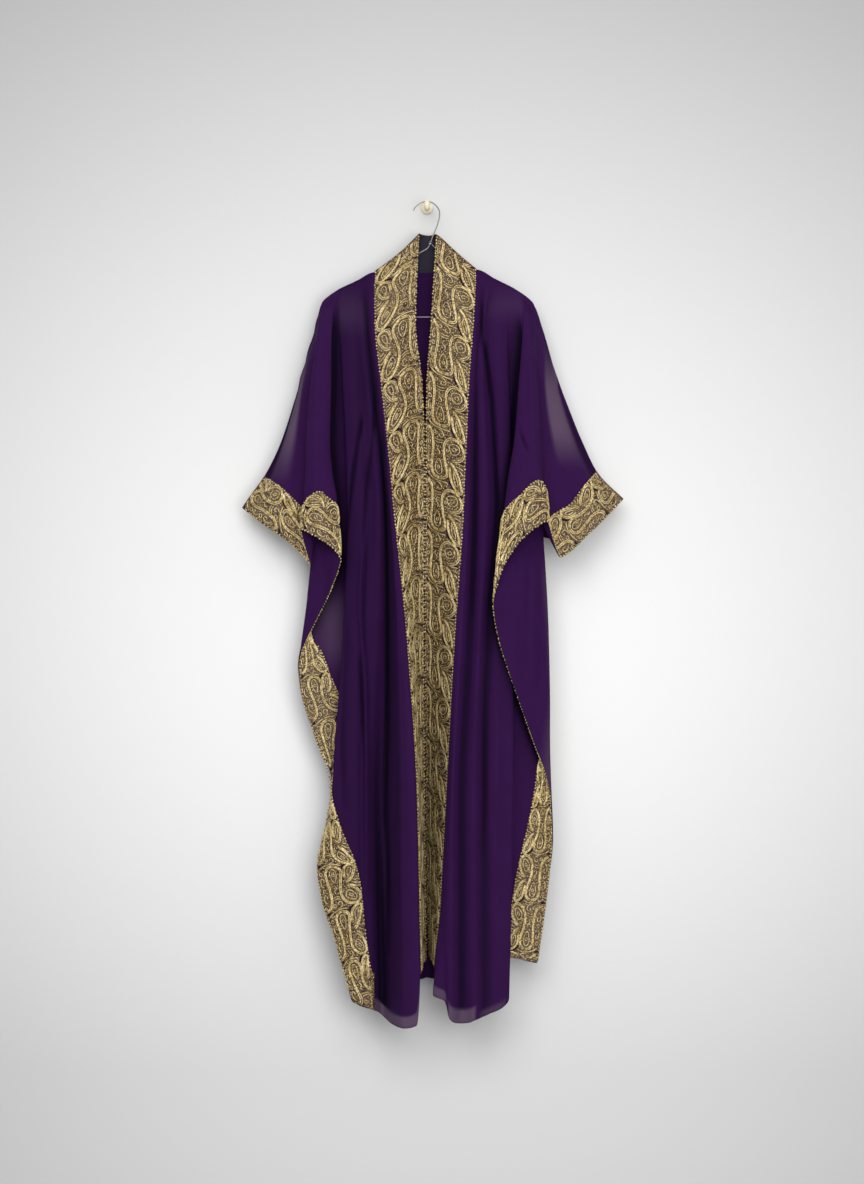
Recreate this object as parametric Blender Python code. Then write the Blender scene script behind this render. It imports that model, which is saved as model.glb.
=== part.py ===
"""An open abaya of purple chiffon with wide embroidered bands, hung by a wire hanger on a wall peg.

The origin is the middle of the peg's flat back, on the wall. +Z is up and the garment's front faces -Y.
Left and right are as seen from the front. The tables are in centimetres: x from the middle of the peg,
height from the peg, and depth from the wall.
"""
import math

import bmesh
import bpy
import numpy as np
from mathutils import Vector

CM = 0.01
TINY = 1e-12  # below this a length counts as nothing

# Cloth
CLOTH_WALL = 0.10
BAND_WALL = 0.10
PIECE_GAP = 0.03
BAND_GAP = 0.07  # between a band and the panel that it lies on
SEAM_SPREAD = 0.065  # from the hanger's plane to the middle of each wall at a shoulder seam
SEAM_STEP = 0.30  # from a front panel's edge to the back panel's edge behind it
HEM_EASE = 1.0  # the position from which the back's hem comes forward to the front's corner
SEAM_EASE = 1.2  # positions over which the back's sleeve edge leaves the front's
SEAM_STAND = 1.4  # how far the cloth stands nearly upright above the hanger's shoulders
STAND_SLOPE = 0.15
SHOULDER_RISE = 10.0  # how far below the seam the cloth takes to reach its full depth
OVERARM_EASE = 0.9  # the part of the outermost fold in which the sleeve closes on its overarm seam
FRONT_PULL = 13.0  # how far from the lower edge the edge's own shape is felt
BACK_PULL = 16.0
PANEL_ROWS = 15  # rows of the panel above the side band's inner edge
BAND_ROWS = 5  # rows under the band
BACK_BAND = 8.0
END_SHARE = 0.06  # of a side band's last column, left free for the cuff band

# Neck band
NECK_STEPS = 12
NECK_SAG = 1.7  # how far it bows back at its upper edge, and a little more at its lower edge
NECK_SAG_LOW = 1.8
LAP_DOWN = 0.85  # how far its foot laps down over the back panel, outside it
LAP_OUT = 0.32

# Hanger
HANGER_DEPTH = 4.5
WIRE = 0.24
HANGER_APEX = (0.6, -9.2)
HANGER_HALF = 19.8
HANGER_DROP = 10.4  # from the apex to the shoulder ends
HANGER_BAR = 2.9  # from the shoulder ends to the bar
BAR_STRAIGHT = 4  # from the shoulder ends' bends to the bar's first and last points
COIL = (0.6, -7.85)  # where the wire's end is wound round the neck: x, height
COIL_TURNS, COIL_STEPS = 1.5, 10
COIL_START = (1.6, -1.3)  # from the coil to where the wire's end leaves the shoulder
NECK_LEAN = 0.36
# The hook from its tip over the peg and down the neck to the left shoulder: x, height
HOOK = (
    (-2.7, -1.1), (-2.5, -0.6), (-2.1, -0.15), (-1.6, 0.25), (-1.0, 0.58), (-0.3, 0.76), (0.3, 0.76),
    (1.0, 0.55), (1.6, 0.15), (2.1, -0.4), (2.45, -1.0), (2.55, -1.7), (2.5, -2.4), (2.25, -3.4),
    (1.9, -4.5), (1.45, -5.6), (1.1, -6.4), (0.85, -7.1), (0.6, -7.8), (0.3, -8.4), (-0.15, -8.85),
    (-0.8, -9.2), (-1.8, -9.75),
)

# Peg
PEG_SIDES = 20
# The plate, the stem and the head: depth from the wall, half width, half height
PEG_SECTIONS = (
    (0.0, 1.25, 1.25),
    (0.25, 1.25, 1.25),
    (0.45, 1.0, 1.0),
    (0.6, 0.52, 0.72),
    (1.0, 0.42, 0.62),
    (4.85, 0.42, 0.62),
)
PEG_HEAD = (0.62, 1.03)
PEG_HEAD_DEPTH = (5.4, 0.6)  # the head's middle, and half of its thickness
PEG_HEAD_TURNS = (-50, -25, 0, 25, 50, 72)  # degrees from the head's widest section

COLOURS = {
    "chiffon": (0.034, 0.010, 0.062),
    "gold": (0.52, 0.41, 0.20),
    "lining": (0.05, 0.03, 0.08),
    "wire": (0.60, 0.60, 0.58),
    "peg": (0.78, 0.72, 0.58),
}

# Heights at which each fold's x and depth are given
STATIONS = (-24, -36, -48, -54, -60, -86, -120, -164)

# One row for each fold line of the left front, from the centre edge outwards:
# name, top (x, height), x at each station, depth at each station
LEFT_FOLDS = (
    ("inner_edge", (-1.5, -5.8), (-2.3, -1.0, -0.5, -0.5, -0.5, -0.6, -0.4, 0.1),
     (7.0, 6.1, 5.5, 5.3, 5.2, 5.0, 4.8, 4.8)),
    ("valley_turn", (-2.6, -6.9), (-3.2, -1.9, -1.4, -1.3, -1.3, -1.2, -1.0, -0.5),
     (7.2, 6.3, 5.6, 5.4, 5.3, 5.1, 4.9, 4.9)),
    ("band_middle", (-5.0, -9.2), (-6.3, -5.0, -4.4, -4.3, -4.2, -2.8, -1.7, -1.0),
     (8.6, 8.9, 9.0, 9.1, 9.2, 8.9, 8.6, 8.6)),
    ("band_outer", (-10.4, -13.3), (-10.4, -9.2, -7.9, -7.3, -6.8, -4.2, -2.1, -1.3),
     (9.4, 10.8, 11.4, 11.7, 12.0, 12.8, 14.2, 14.0)),
    ("ridge_a", (-11.8, -14.1), (-11.4, -10.0, -8.6, -8.0, -7.4, -5.6, -4.4, -4.4),
     (9.0, 10.4, 11.2, 11.6, 12.0, 13.2, 14.8, 14.8)),
    ("valley_a", (-13.0, -14.7), (-12.2, -11.0, -9.6, -8.9, -8.2, -8.0, -9.4, -8.8),
     (7.8, 8.6, 8.9, 9.0, 9.2, 9.6, 9.2, 9.0)),
    ("slope", (-14.2, -15.2), (-13.2, -12.0, -10.8, -10.2, -9.7, -10.2, -11.4, -10.6),
     (8.0, 8.8, 9.3, 9.5, 9.8, 10.8, 11.4, 11.6)),
    ("valley_b", (-15.4, -15.8), (-14.4, -13.2, -12.2, -11.7, -11.2, -12.2, -13.0, -12.0),
     (7.6, 8.4, 8.8, 9.0, 9.2, 10.9, 12.0, 12.2)),
    ("ridge_b", (-16.4, -16.3), (-16.0, -15.0, -14.0, -13.6, -13.2, -14.2, -14.8, -13.2),
     (7.4, 8.8, 9.4, 9.7, 10.0, 11.8, 12.8, 12.6)),
    ("body_fold", (-17.6, -16.8), (-17.4, -16.8, -16.2, -16.0, -15.8, -16.7, -18.8, -15.4),
     (7.0, 8.5, 9.0, 9.2, 9.4, 10.4, 11.2, 11.6)),
    ("body_return", (-17.9, -17.0), (-17.8, -16.6, -15.4, -14.7, -14.0, -14.4, -18.0, -20.2),
     (6.6, 7.4, 7.4, 7.4, 7.4, 7.8, 9.6, 10.6)),
    ("side_middle", (-18.2, -17.2), (-18.4, -18.8, -18.8, -18.8, -18.8, -19.6, -20.0, -23.0),
     (6.2, 6.4, 6.2, 6.0, 5.9, 6.0, 7.4, 8.8)),
    ("side_turn", (-18.4, -17.3), (-18.9, -20.6, -21.8, -22.1, -22.3, -24.5, -26.2, -28.0),
     (6.6, 7.5, 7.7, 7.8, 7.8, 7.8, 8.2, 8.8)),
    ("turned_middle", (-18.6, -17.45), (-19.0, -20.0, -20.1, -20.2, -20.3, -21.6, -24.0, -28.0),
     (7.1, 8.8, 9.4, 9.6, 9.8, 9.6, 9.6, 9.6)),
    ("flap_fold", (-18.9, -17.65), (-19.1, -19.1, -19.3, -18.8, -17.9, -18.2, -22.0, -26.0),
     (7.7, 10.2, 11.4, 11.8, 12.2, 12.2, 12.0, 12.0)),
    ("flap_middle", (-19.9, -18.35), (-20.4, -21.0, -21.3, -21.3, -21.2, -21.0, -24.0, -28.0),
     (8.2, 11.2, 12.8, 13.4, 13.8, 14.2, 14.2, 14.2)),
    ("flap_edge", (-21.1, -19.6), (-21.7, -23.1, -24.0, -24.1, -24.2, -28.0, -30.0, -32.0),
     (7.8, 10.4, 11.8, 12.2, 12.6, 13.0, 13.0, 13.0)),
    ("sleeve_valley", (-21.4, -21.0), (-22.0, -22.4, -22.6, -22.6, -22.6, -24.0, -26.0, -28.0),
     (7.2, 9.2, 10.2, 10.6, 10.8, 11.0, 11.0, 11.0)),
    ("cuff_inner", (-22.8, -26.0), (-22.6, -24.4, -25.5, -26.1, -26.7, -29.5, -33.0, -36.0),
     (6.0, 7.8, 8.4, 8.7, 8.9, 8.8, 8.8, 8.8)),
    ("cuff_outer", (-24.5, -31.8), (-23.0, -25.3, -28.0, -29.6, -31.4, -37.5, -42.0, -46.0),
     (5.4, 6.4, 7.4, 7.7, 8.0, 7.8, 7.8, 7.8)),
    ("sleeve_top", (-25.8, -36.6), (-23.2, -25.7, -29.5, -32.3, -36.4, -52.0, -60.0, -66.0),
     (4.6, 4.6, 4.6, 4.6, 4.6, 4.6, 4.6, 4.6)),
)

RIGHT_FOLDS = (
    ("inner_edge", (1.8, -6.0), (0.8, -0.05, -0.25, -0.3, -0.3, -0.4, -0.2, 0.3),
     (7.0, 6.1, 5.5, 5.3, 5.2, 5.0, 4.8, 4.8)),
    ("valley_turn", (2.8, -6.7), (1.9, 0.9, 0.6, 0.55, 0.5, 0.3, 0.4, 0.8),
     (7.2, 6.3, 5.6, 5.4, 5.3, 5.1, 4.9, 4.9)),
    ("band_middle", (5.0, -8.7), (5.2, 4.4, 4.0, 3.8, 3.6, 2.6, 1.9, 1.2),
     (8.6, 8.9, 9.0, 9.1, 9.2, 8.9, 8.6, 8.6)),
    ("band_outer", (9.8, -12.8), (9.3, 8.4, 7.9, 7.6, 7.4, 5.7, 3.9, 1.6),
     (9.4, 10.8, 11.4, 11.6, 11.8, 12.6, 13.4, 12.4)),
    ("ridge_a", (10.8, -13.35), (10.1, 9.3, 8.8, 8.5, 8.3, 6.8, 5.0, 4.6),
     (9.0, 10.4, 11.0, 11.3, 11.6, 13.0, 14.8, 14.8)),
    ("valley_a", (11.8, -13.85), (10.8, 9.9, 9.7, 9.65, 9.6, 8.6, 7.0, 7.0),
     (8.0, 9.4, 9.8, 10.0, 10.2, 11.4, 12.8, 12.6)),
    ("ridge_b", (12.8, -14.35), (11.4, 11.0, 11.4, 11.5, 11.6, 10.4, 9.2, 9.4),
     (8.2, 9.6, 10.2, 10.5, 10.8, 12.6, 13.8, 13.6)),
    ("valley_b", (13.8, -14.85), (11.9, 12.5, 13.2, 13.6, 14.0, 12.4, 11.6, 11.6),
     (7.4, 8.4, 8.8, 9.0, 9.1, 10.2, 11.6, 11.9)),
    ("ridge_c", (15.4, -15.65), (13.6, 14.4, 14.8, 15.0, 15.2, 14.6, 14.0, 14.0),
     (7.8, 9.0, 9.4, 9.5, 9.6, 10.7, 12.3, 12.4)),
    ("body_fold", (16.8, -16.35), (15.8, 16.3, 16.7, 16.85, 17.0, 17.2, 17.0, 16.3),
     (7.4, 8.2, 8.5, 8.6, 8.8, 9.6, 11.4, 11.8)),
    ("body_return", (17.4, -16.65), (16.6, 16.2, 15.6, 15.3, 15.0, 15.2, 15.6, 16.0),
     (7.0, 7.2, 7.1, 7.0, 7.0, 7.4, 8.6, 9.4)),
    ("side_middle", (18.0, -17.1), (18.2, 19.2, 20.2, 20.4, 20.6, 21.2, 22.2, 21.4),
     (6.4, 6.4, 6.2, 6.0, 6.0, 6.0, 6.6, 8.2)),
    ("side_turn", (18.6, -17.45), (18.9, 20.6, 22.0, 22.4, 22.8, 24.3, 24.9, 25.6),
     (6.8, 7.4, 7.6, 7.6, 7.6, 7.8, 8.0, 9.0)),
    ("turned_middle", (19.1, -17.8), (19.2, 19.7, 19.7, 19.5, 19.2, 18.8, 20.2, 22.0),
     (7.2, 8.8, 9.6, 9.9, 10.2, 10.4, 10.2, 10.2)),
    ("flap_fold", (19.6, -18.1), (19.3, 18.3, 17.3, 16.3, 15.5, 13.1, 13.4, 14.0),
     (7.8, 10.4, 11.6, 12.0, 12.4, 12.8, 12.8, 12.8)),
    ("flap_middle", (20.6, -18.9), (20.2, 20.3, 20.3, 20.1, 19.6, 18.0, 18.0, 18.0),
     (8.4, 11.4, 13.0, 13.6, 14.2, 14.6, 14.6, 14.6)),
    ("flap_edge", (21.4, -19.8), (21.2, 22.0, 22.6, 23.0, 24.8, 26.4, 28.0, 30.0),
     (8.0, 10.4, 11.8, 12.4, 13.0, 13.2, 13.2, 13.2)),
    ("sleeve_valley", (22.0, -21.6), (22.0, 21.6, 21.2, 21.3, 21.8, 34.0, 40.0, 44.0),
     (7.2, 9.2, 10.2, 10.6, 11.0, 11.0, 11.0, 11.0)),
    ("cuff_inner", (23.4, -25.4), (22.6, 23.6, 25.2, 26.6, 27.8, 38.0, 44.0, 48.0),
     (6.0, 7.8, 8.4, 8.7, 8.9, 8.8, 8.8, 8.8)),
    ("cuff_outer", (25.4, -32.4), (23.4, 25.6, 28.4, 30.8, 33.2, 44.0, 50.0, 54.0),
     (5.4, 6.6, 7.4, 7.7, 8.0, 7.8, 7.8, 7.8)),
    ("sleeve_top", (27.0, -37.0), (23.6, 26.9, 31.4, 34.3, 40.2, 60.0, 70.0, 76.0),
     (4.6, 4.6, 4.6, 4.6, 4.6, 4.6, 4.6, 4.6)),
)

# The lower edge: hem, then side edge, then sleeve edge. One row for each column of the panel:
# position among the folds, edge (x, height), height of the side band's inner edge
LEFT_EDGE = (
    (0.0, (-0.1, -152.0), -144.0),
    (1.0, (-0.7, -152.2), -144.0),
    (1.5, (-0.9, -152.3), -144.0),
    (2.0, (-1.2, -152.6), -144.5),
    (2.5, (-1.2, -152.8), -145.5),
    (3.0, (-1.35, -153.4), -146.5),
    (3.25, (-1.5, -158.4), -149.0),
    (3.5, (-2.0, -163.5), -152.0),
    (4.0, (-4.4, -164.1), -154.0),
    (4.5, (-6.8, -163.7), -154.0),
    (5.0, (-8.8, -162.4), -154.0),
    (5.5, (-9.8, -161.4), -153.5),
    (6.0, (-10.6, -160.9), -153.5),
    (6.75, (-11.7, -160.5), -146.4),
    (7.3, (-12.6, -160.2), -136.0),
    (7.8, (-13.1, -160.0), -131.8),
    (8.27, (-13.8, -159.6), -127.6),
    (8.75, (-14.8, -159.1), -120.4),
    (9.0, (-16.2, -154.0), -117.0),
    (9.3, (-17.4, -150.4), -113.4),
    (9.6, (-18.2, -146.8), -109.8),
    (9.9, (-19.9, -142.6), -106.4),
    (10.2, (-21.0, -138.4), -102.4),
    (10.5, (-21.8, -132.8), -99.4),
    (10.8, (-21.0, -128.2), -96.4),
    (11.0, (-19.6, -121.4), -93.8),
    (11.2, (-19.2, -115.2), -90.4),
    (11.45, (-21.4, -109.8), -87.0),
    (11.6, (-23.2, -104.6), -84.4),
    (11.8, (-25.2, -98.0), -81.8),
    (11.85, (-25.8, -93.2), -80.9),
    (12.0, (-25.4, -90.4), -79.4),
    (12.3, (-24.0, -87.0), -77.4),
    (12.65, (-22.1, -83.2), -74.8),
    (13.0, (-20.2, -79.5), -71.4),
    (13.5, (-18.8, -76.2), -66.8),
    (13.8, (-17.8, -73.6), -63.6),
    (14.0, (-17.3, -71.6), -61.4),
    (14.2, (-17.9, -70.2), -60.4),
    (14.5, (-19.2, -68.8), -59.4),
    (15.0, (-21.3, -67.3), -57.8),
    (15.5, (-23.6, -66.0), -58.8),
    (16.0, (-25.0, -65.2), -61.0),
    (16.5, (-24.2, -68.6), -63.8),
    (17.0, (-23.0, -72.6), -66.0),
    (17.5, (-24.8, -70.4), -61.8),
    (18.0, (-27.4, -68.0), -59.2),
    (19.0, (-32.8, -64.2), -56.0),
    (20.0, (-37.2, -60.9), -54.6),
)

RIGHT_EDGE = (
    (0.0, (0.3, -151.0), -143.0),
    (1.0, (0.8, -151.2), -143.0),
    (1.5, (0.9, -151.3), -143.0),
    (2.0, (1.1, -151.4), -143.5),
    (2.5, (1.3, -151.6), -144.0),
    (3.0, (1.6, -152.4), -145.0),
    (3.25, (1.2, -157.6), -148.0),
    (3.5, (3.5, -158.8), -150.0),
    (4.0, (4.5, -162.3), -153.0),
    (4.5, (5.8, -163.2), -154.0),
    (5.0, (7.0, -163.4), -154.0),
    (5.5, (8.4, -163.2), -154.0),
    (6.0, (9.4, -162.7), -154.0),
    (6.5, (10.6, -162.3), -153.5),
    (7.0, (11.6, -162.0), -153.0),
    (7.5, (12.8, -161.4), -152.5),
    (8.0, (14.0, -160.9), -152.0),
    (8.5, (15.4, -160.0), -151.5),
    (9.0, (16.3, -158.6), -150.5),
    (9.6, (15.8, -155.0), -148.5),
    (10.15, (16.4, -150.7), -146.0),
    (10.3, (17.2, -150.9), -140.0),
    (10.5, (18.6, -151.2), -131.6),
    (10.7, (19.8, -151.6), -124.2),
    (10.85, (20.8, -151.8), -118.2),
    (11.0, (21.9, -152.0), -113.0),
    (11.2, (22.8, -147.4), -110.0),
    (11.4, (23.9, -139.6), -107.2),
    (11.6, (24.6, -133.6), -104.6),
    (11.8, (25.2, -127.0), -102.4),
    (12.0, (24.9, -119.8), -100.4),
    (12.25, (23.8, -114.2), -97.0),
    (12.6, (21.8, -109.0), -92.0),
    (13.0, (19.2, -101.8), -86.0),
    (13.5, (15.9, -92.3), -75.0),
    (13.7, (14.6, -88.2), -70.4),
    (14.0, (13.3, -80.6), -63.4),
    (14.25, (14.8, -74.0), -61.3),
    (14.7, (18.0, -68.4), -58.8),
    (15.0, (19.6, -66.6), -57.0),
    (15.5, (21.8, -64.9), -55.6),
    (16.0, (23.6, -63.8), -56.4),
    (16.5, (24.8, -67.2), -60.6),
    (17.0, (26.6, -70.9), -64.8),
    (17.5, (29.0, -69.4), -62.2),
    (18.0, (31.2, -67.3), -60.4),
    (19.0, (35.4, -63.3), -55.9),
    (20.0, (39.5, -59.1), -53.6),
)

# The back panel, left and right halves, with the depth of the top edge in the top's third column
LEFT_BACK_FOLDS = (
    ("centre", (0.0, -13.45, 2.6), (0, 0, 0, 0, 0, 0, 0, 0),
     (2.4, 2.3, 2.2, 2.2, 2.2, 2.2, 2.4, 2.6)),
    ("valley_a", (-5.2, -13.6, 3.1), (-5.2, -5.1, -5.0, -5.0, -5.0, -4.8, -4.6, -4.4),
     (2.6, 2.0, 1.6, 1.4, 1.4, 1.2, 1.0, 1.0)),
    ("ridge_a", (-10.4, -13.45, 4.4), (-9.6, -9.0, -8.6, -8.5, -8.4, -8.0, -7.8, -7.6),
     (3.0, 2.4, 2.2, 2.2, 2.2, 2.6, 3.0, 3.2)),
    ("valley_b", (-14.2, -15.2, 4.4), (-13.0, -12.4, -12.0, -11.9, -11.8, -11.4, -11.2, -10.8),
     (2.8, 1.8, 1.4, 1.2, 1.2, 1.0, 1.0, 1.2)),
    ("ridge_b", (-17.6, -16.8, 4.4), (-16.6, -16.0, -15.8, -15.7, -15.6, -15.4, -15.4, -14.8),
     (3.0, 2.2, 2.0, 2.0, 2.0, 2.4, 3.2, 4.4)),
    ("side", (-20.1, -18.5, 4.4), (-19.4, -19.0, -18.8, -18.8, -18.8, -19.0, -18.4, -18.6),
     (3.2, 2.2, 1.8, 1.6, 1.6, 2.2, 3.6, 5.0)),
    ("side_seam", (-21.2, -19.8, 4.4), (-21.2, -21.3, -21.4, -21.5, -21.7, -22.9, -23.6, -24.6),
     (3.4, 2.6, 2.4, 2.4, 2.4, 3.0, 4.0, 5.0)),
    ("sleeve_inner", (-22.8, -26.0, 4.4), (-22.6, -23.3, -23.4, -23.4, -23.4, -23.7, -26.0, -28.0),
     (3.8, 3.0, 2.4, 2.2, 2.2, 2.4, 2.6, 3.0)),
    ("sleeve_outer", (-24.5, -31.8, 4.4), (-23.0, -25.3, -28.0, -29.6, -31.4, -37.5, -42.0, -46.0),
     (4.0, 3.8, 3.2, 3.0, 2.8, 2.8, 2.8, 2.8)),
    ("sleeve_top", (-25.8, -36.6, 4.4), (-23.2, -25.7, -29.5, -32.3, -36.4, -52.0, -60.0, -66.0),
     (4.4, 4.4, 4.4, 4.4, 4.4, 4.4, 4.4, 4.4)),
)

RIGHT_BACK_FOLDS = (
    ("centre", (0.0, -13.45, 2.6), (0, 0, 0, 0, 0, 0, 0, 0),
     (2.4, 2.3, 2.2, 2.2, 2.2, 2.2, 2.4, 2.6)),
    ("valley_a", (5.0, -13.2, 3.1), (4.9, 4.8, 4.8, 4.8, 4.8, 4.6, 4.4, 4.2),
     (2.6, 1.9, 1.5, 1.4, 1.3, 1.2, 1.2, 1.2)),
    ("ridge_a", (9.8, -12.9, 4.4), (9.0, 8.4, 8.2, 8.2, 8.2, 8.0, 7.8, 7.6),
     (3.0, 2.5, 2.4, 2.4, 2.4, 2.8, 3.2, 3.4)),
    ("valley_b", (13.8, -14.85, 4.4), (12.8, 12.2, 12.0, 12.0, 12.0, 11.8, 11.4, 11.0),
     (2.8, 1.7, 1.3, 1.2, 1.1, 1.0, 1.1, 1.4)),
    ("ridge_b", (17.4, -16.65, 4.4), (16.6, 16.4, 16.4, 16.4, 16.4, 16.2, 16.0, 16.0),
     (3.0, 2.3, 2.1, 2.0, 2.0, 2.4, 3.2, 4.4)),
    ("side", (20.6, -18.9, 4.4), (19.6, 19.6, 19.6, 19.6, 19.7, 20.0, 20.2, 19.6),
     (3.2, 2.2, 1.8, 1.6, 1.6, 2.2, 3.4, 5.0)),
    ("side_seam", (21.8, -20.6, 4.4), (21.4, 21.4, 21.6, 21.8, 22.0, 22.8, 23.3, 24.0),
     (3.4, 2.6, 2.4, 2.4, 2.4, 2.8, 4.0, 5.0)),
    ("sleeve_inner", (23.4, -25.4, 4.4), (22.6, 22.8, 22.8, 22.9, 23.0, 23.6, 24.0, 26.0),
     (3.8, 3.0, 2.4, 2.2, 2.2, 2.4, 2.8, 3.2)),
    ("sleeve_outer", (25.4, -32.4, 4.4), (23.4, 25.6, 28.4, 30.8, 33.2, 44.0, 50.0, 54.0),
     (4.0, 3.8, 3.2, 3.0, 2.8, 2.8, 2.8, 2.8)),
    ("sleeve_top", (27.0, -37.0, 4.4), (23.6, 26.9, 31.4, 34.3, 40.2, 60.0, 70.0, 76.0),
     (4.4, 4.4, 4.4, 4.4, 4.4, 4.4, 4.4, 4.4)),
)

# The back's hem and its sleeve edge, in the columns of LEFT_EDGE. The side seam lies between
# them and is taken from the front's own edge.
LEFT_BACK_HEM = (
    (0.0, (0.0, -155.6), -148.0),
    (0.5, (-2.2, -156.4), -149.0),
    (1.0, (-4.4, -157.8), -150.0),
    (1.5, (-6.0, -159.2), -150.5),
    (2.0, (-7.6, -159.8), -151.0),
    (2.5, (-9.4, -160.2), -151.0),
    (2.8, (-10.9, -160.2), -150.0),
    (3.2, (-12.6, -159.9), -149.5),
)
LEFT_BACK_SLEEVE = (
    (6.3, (-24.2, -86.4), -83.0),
    (6.6, (-23.3, -80.0), -76.6),
    (6.8, (-23.2, -74.0), -70.4),
    (7.0, (-23.8, -70.7), -65.4),
    (7.5, (-27.3, -67.2), -59.6),
    (8.0, (-32.4, -64.2), -56.4),
    (9.0, (-37.2, -60.9), -54.6),
)
RIGHT_BACK_HEM = (
    (0.0, (0.0, -155.6), -148.0),
    (0.5, (2.2, -156.2), -149.0),
    (1.0, (4.2, -156.8), -149.5),
    (1.5, (6.0, -157.6), -149.0),
    (2.0, (7.6, -157.2), -148.0),
    (2.5, (9.6, -155.6), -148.0),
    (3.0, (12.0, -153.8), -147.0),
    (3.5, (14.8, -151.6), -146.0),
    (4.0, (18.0, -150.8), -145.6),
)
RIGHT_BACK_SLEEVE = (
    (6.2, (24.0, -110.0), -107.0),
    (6.4, (23.5, -94.0), -91.4),
    (6.6, (23.0, -79.0), -76.6),
    (6.8, (22.9, -66.6), -63.6),
    (7.0, (25.2, -67.0), -61.6),
    (7.5, (30.2, -67.0), -59.4),
    (8.0, (35.4, -63.0), -55.8),
    (9.0, (39.5, -59.1), -53.6),
)

# Near the lower edge the columns lean, so that they cross the side band squarely.
# One row for each knot: position at the lower edge, position at the side band's inner edge
LEFT_LEAN = ((0, 0), (3, 3), (5.5, 5.5), (8.75, 7.2), (9.9, 8.1), (10.5, 8.9), (11.0, 9.7), (11.45, 10.5),
             (11.8, 11.3), (12.0, 11.7), (12.65, 12.4), (14, 14), (15, 15), (20, 20))
RIGHT_LEAN = ((0, 0), (3, 3), (9.0, 9.0), (10.15, 9.7), (11.0, 10.3), (11.4, 10.8), (11.8, 11.3), (12.0, 11.6),
              (12.6, 12.15), (13.0, 12.5), (13.5, 13.1), (13.7, 13.45), (14, 14), (15, 15), (20, 20))
LEFT_BACK_LEAN = ((0, 0), (1, 1), (2, 2), (3.7, 2.8), (6.0, 5.0), (6.3, 5.2), (6.6, 5.5), (6.8, 5.9),
                  (7.0, 6.4), (7.5, 7.2), (8, 8), (9, 9))
RIGHT_BACK_LEAN = ((0, 0), (1, 1), (2, 2), (3.7, 2.9), (4.4, 3.4), (6.0, 4.6), (6.2, 4.8), (6.4, 5.0), (6.6, 5.3),
                   (6.8, 5.7), (7.0, 6.4), (7.5, 7.2), (8, 8), (9, 9))

# Positions among the folds where the pieces begin and end
BAND_END = 3.0  # the front band's outer edge
SLEEVE_START = 13.0  # on the turned layer, where the cuff band begins
SEAM_END = 11.85  # where the side seam ends and the sleeve opening begins
LEFT_CORNER, RIGHT_CORNER = 8.75, 11.0  # the hem's corners
LEFT_SIDE_BAND, RIGHT_SIDE_BAND = 6.0, 10.15  # the side band's end at the hem
LEFT_BACK_CORNER, RIGHT_BACK_CORNER = 3.7, 4.4
BACK_SEAM_END = 6.0


def clear_scene():
    for old in list(bpy.data.objects):
        bpy.data.objects.remove(old)


def collection_of(name):
    group = bpy.data.collections.new(name)
    bpy.context.scene.collection.children.link(group)
    return group


def material(name, colour, roughness, metallic=0.0):
    made = bpy.data.materials.new(name)
    made.use_nodes = True
    shader = made.node_tree.nodes["Principled BSDF"]
    shader.inputs["Base Color"].default_value = (*colour, 1.0)
    shader.inputs["Roughness"].default_value = roughness
    shader.inputs["Metallic"].default_value = metallic
    made.diffuse_color = (*colour, 1.0)
    return made


def monotone(knots, values, at):
    """A smooth curve through the values that never swings past them."""
    knots = np.asarray(knots, float)
    values = np.asarray(values, float)
    if len(knots) == 1:
        return float(values[0])
    steps = np.diff(knots)
    slopes = np.diff(values) / steps
    bends = np.empty(len(knots))
    bends[0], bends[-1] = slopes[0], slopes[-1]
    for i in range(1, len(knots) - 1):
        before, after = slopes[i - 1], slopes[i]
        if before * after <= 0:
            bends[i] = 0.0
        else:
            wide, narrow = 2 * steps[i] + steps[i - 1], steps[i] + 2 * steps[i - 1]
            bends[i] = (wide + narrow) / (wide / before + narrow / after)
    at = min(max(at, knots[0]), knots[-1])
    i = min(int(np.searchsorted(knots, at, side="right")) - 1, len(steps) - 1)
    t = (at - knots[i]) / steps[i]
    return float(
        (1 + 2 * t) * (1 - t) ** 2 * values[i]
        + t * (1 - t) ** 2 * steps[i] * bends[i]
        + t * t * (3 - 2 * t) * values[i + 1]
        + t * t * (t - 1) * steps[i] * bends[i + 1]
    )


def ease_out(t):
    t = min(max(t, 0.0), 1.0)
    return 1 - (1 - t) ** 2


def ease_both(t):
    t = min(max(t, 0.0), 1.0)
    return t * t * (3 - 2 * t)


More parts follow.
